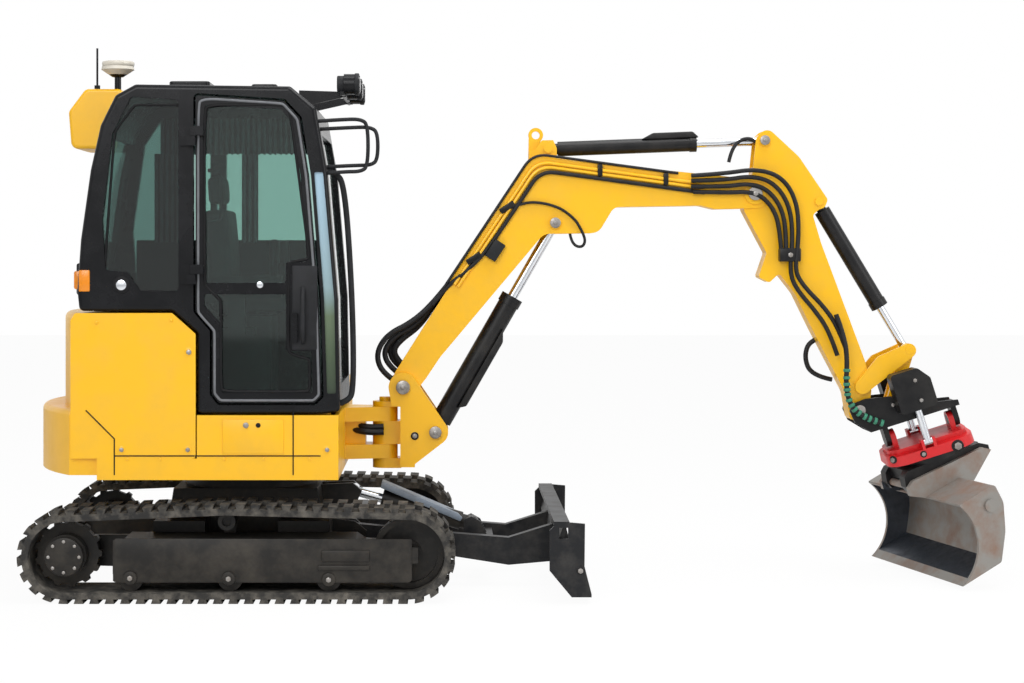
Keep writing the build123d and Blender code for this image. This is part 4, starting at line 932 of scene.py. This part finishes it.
# %% Controls
for name, across in (("near", seat_middle - 285.0), ("far", seat_middle + 285.0)):
    console_low = spot(-70, across - 55, 1395)
    console_high = spot(190, across + 55, 1450)
    block(f"arm_console_{name}", console_low, console_high, 14.0, grained_plastic, "upper")
    lever = along_side(((140, 1445), (146, 1500), (152, 1545)), across)
    tube(f"control_lever_{name}", lever, 11.0, hose_rubber, "upper")
    grip_low = spot(128, across - 22, 1535)
    grip_high = spot(178, across + 22, 1650)
    block(f"lever_grip_{name}", grip_low, grip_high, 16.0, grained_plastic, "upper")
    travel = along_side(((330, 900), (352, 1120), (330, 1330)), across * 0.35 - 140)
    tube(f"travel_lever_{name}", travel, 9.0, grained_plastic, "upper")
block("cab_monitor", spot(290, 60, 1480), spot(330, 230, 1640), 8.0, grained_plastic, "upper")
print("consoles on both sides of", round(seat_middle))

# %% [markdown]
# The blinds on the far wall are rows of upright slats. One slat is modelled and an array modifier
# repeats it, and a thin dark back closes the gaps between the slats.

# %% Blinds and far wall trim
SLAT_PITCH = 27.0
FAR_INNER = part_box("cab_far_wall")[0][1] / MM - 8.0


def slat_row(name, start, count, low, high):
    slat_low = spot(start - 7, FAR_INNER - 6, low)
    slat_high = spot(start + 7, FAR_INNER + 6, high)
    # The slats' light grey is partly their own grey and partly a painted highlight.
    made = block(name, slat_low, slat_high, 3.0, slat_grey_and_highlight, None)
    row = made.modifiers.new("row", "ARRAY")
    row.count = count
    row.use_relative_offset = False
    row.use_constant_offset = True
    row.constant_offset_displace = (SLAT_PITCH * MM, 0.0, 0.0)
    lone(made)
    bpy.ops.object.modifier_apply(modifier=row.name)
    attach(made, "upper")


slat_row("sun_blind_slats", -470.0, 28, 2080.0, 2262.0)
slat_row("rear_blind_slats", -500.0, 7, 1640.0, 2080.0)
slat_row("pillar_slats", -58.0, 3, 1640.0, 2080.0)
far_plates = {
    "sun_blind_back": ((-480, 2085), (280, 2258), 2, 7, 2.0),
    "pillar_back": ((-72, 1640), (10, 2085), 2, 7, 2.0),
    "far_inner_trim": ((-600, 1338), (362, 1652), -4, 6, 8.0),
    "rear_blind_back": ((-510, 1645), (-330, 2085), 2, 7, 2.0),
}
for name, (low, high, inner, outer, bevel) in far_plates.items():
    plate_low = spot(low[0], FAR_INNER + inner, low[1])
    plate_high = spot(high[0], FAR_INNER + outer, high[1])
    block(name, plate_low, plate_high, bevel, seal_rubber, "upper")
print("far wall plates:", len(far_plates))

# %% [markdown]
# ## Panels of the house
# The side of the house is pressed panels: an engine cover, a lower lid with a lock, and a skirt. A
# panel gap is a dark line a few millimetres wide. Here each gap is a thin rubber bead laid along the
# seam, and the lid is a raised plate.

# %% Panel seams and locks
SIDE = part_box("access_panel")[0][1] / MM
BEAD = 3.0
seams = {
    "cover_seam": ((-690, 870), (-560, 740), (-560, 575)),
    "skirt_seam": ((-560, 662), (380, 662)),
    "front_seam": ((255, 868), (255, 575)),
}
for name, run in seams.items():
    corners = along_side(run, SIDE - 0.5)
    for step, (start, end) in enumerate(zip(corners, corners[1:])):
        tube(f"{name}_{step}", [start, start.lerp(end, 0.5), end], BEAD, seal_rubber, "upper")
lid_outline = [(-66, 672), (212, 672), (212, 828), (-66, 828)]
sheet_metal("service_lid", lid_outline, SIDE - 5.0, SIDE + 2.0, 2.5, yellow_coat, "upper")
disc("lid_lock", spot(40, SIDE - 7.0, 802), TO_NEAR_SIDE, 13.0, 10.0, 2.0, pin_steel, "upper")
disc("lid_grip_hole", spot(96, SIDE - 5.5, 802), TO_NEAR_SIDE, 11.0, 3.0, 0.6, seal_rubber, "upper")
panel_bolts = ((-500, 648), (-350, 648), (-60, 648), (120, 648), (330, 648), (-640, 1270), (-300, 1280))
for index, centre in enumerate(along_side(panel_bolts, SIDE - 2.0)):
    bolt_head(f"panel_bolt_{index}", centre, TO_NEAR_SIDE, 16.0, "upper", yellow_coat)
print("house seams:", len(seams), "bolts:", len(panel_bolts))

# %% [markdown]
# The lamp at the cab's rear corner has an amber lens on a black base, and an amber marker on the side.

# %% Rear lamp
block("tail_lamp_base", spot(-745, -640, 1395), spot(-672, -560, 1540), 10.0, grained_plastic, "upper")
block("tail_lamp_lens", spot(-756, -646, 1420), spot(-720, -568, 1505), 10.0, amber_lens, "upper")
marker_low = spot(-722, WALL_FACE - 5.0, 1411)
marker_high = spot(-672, WALL_FACE + 12.0, 1509)
block("side_marker", marker_low, marker_high, 5.0, amber_lens, "upper")
print("rear lamp made")

# %% [markdown]
# ## Front tube, lamps and guards
# A bent grab tube runs down the front pillar, and two bent guard tubes stand out from the pillar's
# top. Over the windscreen sits a bar of round work lamps, each with a clear lens in a black bezel.

# %% Grab tube and guard tubes
grab = ((348, 1985), (440, 1962), (486, 1900), (520, 1400), (528, 960), (500, 900), (420, 885))
tube("front_grab_tube", along_side(grab, -610.0), 14.0, grained_plastic, "upper")
guard_loops = ((560, 2200, 1960, 342, 396), (604, 2165, 1990, 350, 390))
for index, (ahead, high, low, high_foot, low_foot) in enumerate(guard_loops):
    guard = [(high_foot, high - 10), (ahead - 70, high), (ahead, high), (ahead + 34, high - 24)]
    guard += [(ahead + 34, low + 24), (ahead, low), (ahead - 70, low), (low_foot, low - 8)]
    route = along_side(guard, -642.0 + 24.0 * index)
    tube(f"mirror_guard_{index}", route, 9.0, grained_plastic, "upper")
print("guard tubes:", len(guard_loops))

# %% [markdown]
# A lamp is three discs one behind the other: the bezel, the lens that stands out of it a little, and
# the rounded back of the housing.

# %% Work lamps
LAMP_AHEAD = (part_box("lamp_bar")[1][0] - SLEW_X) / MM
LAMP_HIGH = 2372.0
LAMP_ROW = (-500.0, -200.0, 100.0)
lamp_discs = {
    "lamp_bezel": (10, 52.0, 22.0, 5.0, grained_plastic),
    "lamp_glass": (1, 42.0, 12.0, 5.0, lamp_lens),
    "lamp_back": (82, 40.0, 40.0, 16.0, grained_plastic),
}
for index, across in enumerate(LAMP_ROW):
    for name, (behind, radius, depth, bevel, finish) in lamp_discs.items():
        centre = spot(LAMP_AHEAD - behind, across, LAMP_HIGH)
        disc(f"{name}_{index}", centre, (1, 0, 0), radius, depth, bevel, finish, "upper")
print("lamps at", round(LAMP_AHEAD))

# %% [markdown]
# ## Pins, guards and wear parts
# Each pivot pin ends in a steel head that is held by a keeper bolt. The heads are the bright round
# spots on the boom and stick.

# %% Pin heads
pins = {
    "boom_foot_pin": ((743, 936), -118.0, 34.0, "post"),
    "boom_cylinder_pin": ((900, 718), -118.0, 30.0, "post"),
    "boom_rod_pin_head": ((1483, 1734), -85.0, 26.0, "boom_arm"),
    "boom_tip_pin_head": ((2454, 1877), -92.0, 34.0, "boom_arm"),
    "stick_rod_pin_head": ((2503, 2136), -76.0, 24.0, "stick_arm"),
    "stick_end_pin_head": ((2959, 824), -110.0, 26.0, "head"),
}
for name, ((ahead, height), across, radius, body) in pins.items():
    disc(name, spot(ahead, across, height), TO_NEAR_SIDE, radius, 16.0, 4.0, pin_steel, body)
    bolt_head(name + "_bolt", spot(ahead, across - 10.0, height), TO_NEAR_SIDE, radius * 0.8, body)
print("pin heads:", len(pins))

# %% [markdown]
# The barrels of two cylinders carry bent steel guards that keep stones off. Seen from the side, a guard
# is a low shape with sloped ends that lies along the barrel.

# %% Cylinder guards


def fold_guard(name, start, end, away, wide, across, body):
    along = (Vector(end) - Vector(start)).normalized()
    out = Vector((along.y, -along.x))
    first = Vector(start) + away * out
    last = Vector(end) + away * out
    outline = [first, first + 30.0 * along + wide * out, last - 60.0 * along + wide * out, last]
    sheet_metal(name, outline, -across, across, 8.0, tool_coat, body)


fold_guard("boom_barrel_guard", (975, 848), (1199, 1238), 36.0, 34.0, 50.0, "boom_barrel")
fold_guard("stick_barrel_guard", (2190, 2123), (1905, 2112), 30.0, 30.0, 32.0, "stick_barrel")
print("guards made")

# %% [markdown]
# ## Undercarriage
# The track frame is a welded box with a side plate, a step and the round caps of its roller bolts.

# %% Track frame fittings
FRAME_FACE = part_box("track_frame_near")[0][1] / MM
step_low = spot(388, FRAME_FACE - 16.0, 188)
step_high = spot(606, FRAME_FACE - 2.0, 241)
block("frame_step", step_low, step_high, 8.0, black_coat, "undercarriage")
slot_low = spot(372, FRAME_FACE - 18.0, 150)
slot_high = spot(606, FRAME_FACE - 2.0, 172)
block("frame_step_slot", slot_low, slot_high, 5.0, black_coat, "undercarriage")
side_outline = [(-558, 100), (-558, 280), (-545, 293), (797, 290), (797, 104), (785, 93), (-545, 93)]
side_faces = (FRAME_FACE - 6.0, FRAME_FACE - 1.0)
sheet_metal("frame_side_plate", side_outline, *side_faces, 2.0, black_coat, "undercarriage")
roller_spots = ((-479, 115), (-33, 112), (420, 108))
for index, (ahead, height) in enumerate(roller_spots):
    cap = spot(ahead, FRAME_FACE - 8.0, height)
    disc(f"roller_cap_{index}", cap, TO_NEAR_SIDE, 30.0, 18.0, 6.0, black_coat, "undercarriage")
    bolt = spot(ahead, FRAME_FACE - 22.0, height)
    bolt_head(f"roller_bolt_{index}", bolt, TO_NEAR_SIDE, 26.0, "undercarriage")
print("roller caps:", len(roller_spots))

# %% [markdown]
# The drive motor's hub has a round cover with a ring of bolts.

# %% Drive hub
HUB_BOLTS = 8
BOLT_RING = 70.0
hub_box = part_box("sprocket_near")
HUB_FACE = hub_box[0][1] / MM
HUB_AHEAD = ((hub_box[0][0] + hub_box[1][0]) / 2 - SLEW_X) / MM
HUB_HIGH = (hub_box[0][2] + hub_box[1][2]) / 2 / MM
hub = spot(HUB_AHEAD, HUB_FACE - 2.0, HUB_HIGH)
disc("hub_cover", hub, TO_NEAR_SIDE, 88.0, 18.0, 6.0, black_coat, "undercarriage")
for index in range(HUB_BOLTS):
    turn = 2.0 * math.pi * index / HUB_BOLTS
    ahead = HUB_AHEAD + BOLT_RING * math.cos(turn)
    height = HUB_HIGH + BOLT_RING * math.sin(turn)
    bolt_head(f"hub_bolt_{index}", spot(ahead, HUB_FACE - 12.0, height), TO_NEAR_SIDE, 17.0, "undercarriage")
print("hub at", round(HUB_AHEAD), round(HUB_HIGH))

# %% [markdown]
# ## Blade guard and bucket
# A bent plate lies over the blade's cylinder. The bucket's inside is scoured smooth by the soil and is
# painted darker as shade in its hollow, and its outside keeps a film of rust. A face belongs to the inside
# when a straight line from it meets another face of the bucket, so these faces take the second finish.

# %% Blade guard and bucket faces
guard_line = [(640, 474), (1010, 318), (1032, 296), (1020, 280), (632, 444)]
sheet_metal("blade_cylinder_guard", guard_line, -62.0, 62.0, 4.0, guard_coat, "blade_barrel")
SEEN_FROM = 0.9
STEP_OFF = 0.002
shell = nodes["bucket"].data
shell.materials.append(scoured_and_shaded_steel)
surface = BVHTree.FromPolygons([v.co for v in shell.vertices], [p.vertices for p in shell.polygons])
inner_faces = 0
# Faces that look onto another face of the bucket take the darker finish: painted shade of the hollow.
for polygon in shell.polygons:
    start = polygon.center + polygon.normal * STEP_OFF
    if surface.ray_cast(start, polygon.normal, SEEN_FROM)[0] is not None:
        polygon.material_index = len(shell.materials) - 1
        inner_faces += 1
print("inside faces of the bucket:", inner_faces)

# %% [markdown]
# ## Bolts on the side
# The tool head's cover, the turning housing, the post and the blade's end are bolted. Each bolt is set
# on the real surface of the piece, over a thin washer.

# %% Side bolts
side_bolts = {
    "cover_bolt_low_rear": ("tool_head", 3120, 850, 20.0),
    "cover_bolt_low_front": ("tool_head", 3235, 880, 20.0),
    "cover_bolt_high_front": ("tool_head", 3205, 975, 20.0),
    "housing_pin": ("rotor_housing", 3425, 655, 40.0),
    "housing_bolt_rear": ("rotor_housing", 3120, 585, 26.0),
    "housing_bolt_middle": ("rotor_housing", 3260, 615, 22.0),
    "blade_end_bolt": ("blade", 1560, 150, 26.0),
    "post_bolt_low": ("swing_post", 800, 700, 26.0),
}
carrier = {"tool_head": "head", "rotor_housing": "housing", "blade": "dozer_blade", "swing_post": "post"}
for name, (node, ahead, height, across) in side_bolts.items():
    place, facing = near_side(node, ahead, height)
    disc(name + "_washer", place, facing, across * 0.75, 6.0, 1.5, tool_coat, carrier[node])
    bolt_head(name, place + facing * 4.0 * MM, facing, across, carrier[node])
print("side bolts:", len(side_bolts))

# %% [markdown]
# ## Panels and small covers
# The body's covers are held by sunk bolts. A plain panel closes the far rear corner, and a clamp
# gathers the hoses on the stick.

# %% Cover bolts, rear panel and hose clamp
cover_bolts = {
    "hood_catch": (-220, 1135, 26.0),
    "panel_bolt_rear": (-527, 690, 22.0),
    "panel_bolt_front": (-225, 690, 22.0),
    "sill_bolt": (410, 690, 22.0),
}
for name, (ahead, height, across) in cover_bolts.items():
    seat_spot = spot(ahead, SIDE - 0.5, height)
    disc(name + "_seat", seat_spot, TO_NEAR_SIDE, across * 0.8, 3.0, 1.0, yellow_coat, "upper")
    bolt_head(name, spot(ahead, SIDE - 3.0, height), TO_NEAR_SIDE, across, "upper")
block("far_rear_panel", spot(-640, 664, 650), spot(-299, 684, 872), 6.0, yellow_coat, "upper")
block("stick_hose_clamp", spot(2568, -118, 1545), spot(2672, -60, 1612), 8.0, tool_coat, "stick_arm")
bolt_head("stick_clamp_bolt", spot(2620, -119, 1578), TO_NEAR_SIDE, 26.0, "stick_arm")
print("cover bolts:", len(cover_bolts))

# %% [markdown]
# The dish on the roof has a pale plastic cover. A line from above finds its top, the cover is a flat
# disc on it, and the faces of the dish below the cover take the same cream finish.

# %% Dish cover
DISH_HALF = 78.0
DISH_DEPTH = 45.0
dish_low, dish_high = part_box("antennas")
dish_x = dish_high[0] - DISH_HALF * MM
dish_y = (dish_low[1] + dish_high[1]) / 2
dish_top = nodes["antennas"].ray_cast((dish_x, dish_y, 4.0), (0.0, 0.0, -1.0))[1]
cover = dish_top + Vector((0.0, 0.0, 6.0 * MM))
disc("dish_cover", cover, (0, 0, 1), DISH_HALF, 24.0, 10.0, cream_plastic, "upper")
aerials = nodes["antennas"].data
aerials.materials.append(cream_plastic)
dish_edge = dish_x - DISH_HALF * MM * 1.1
for polygon in aerials.polygons:
    if polygon.center.x > dish_edge and polygon.center.z > dish_top.z - DISH_DEPTH * MM:
        polygon.material_index = len(aerials.materials) - 1
print("dish at", [round(value, 3) for value in dish_top])
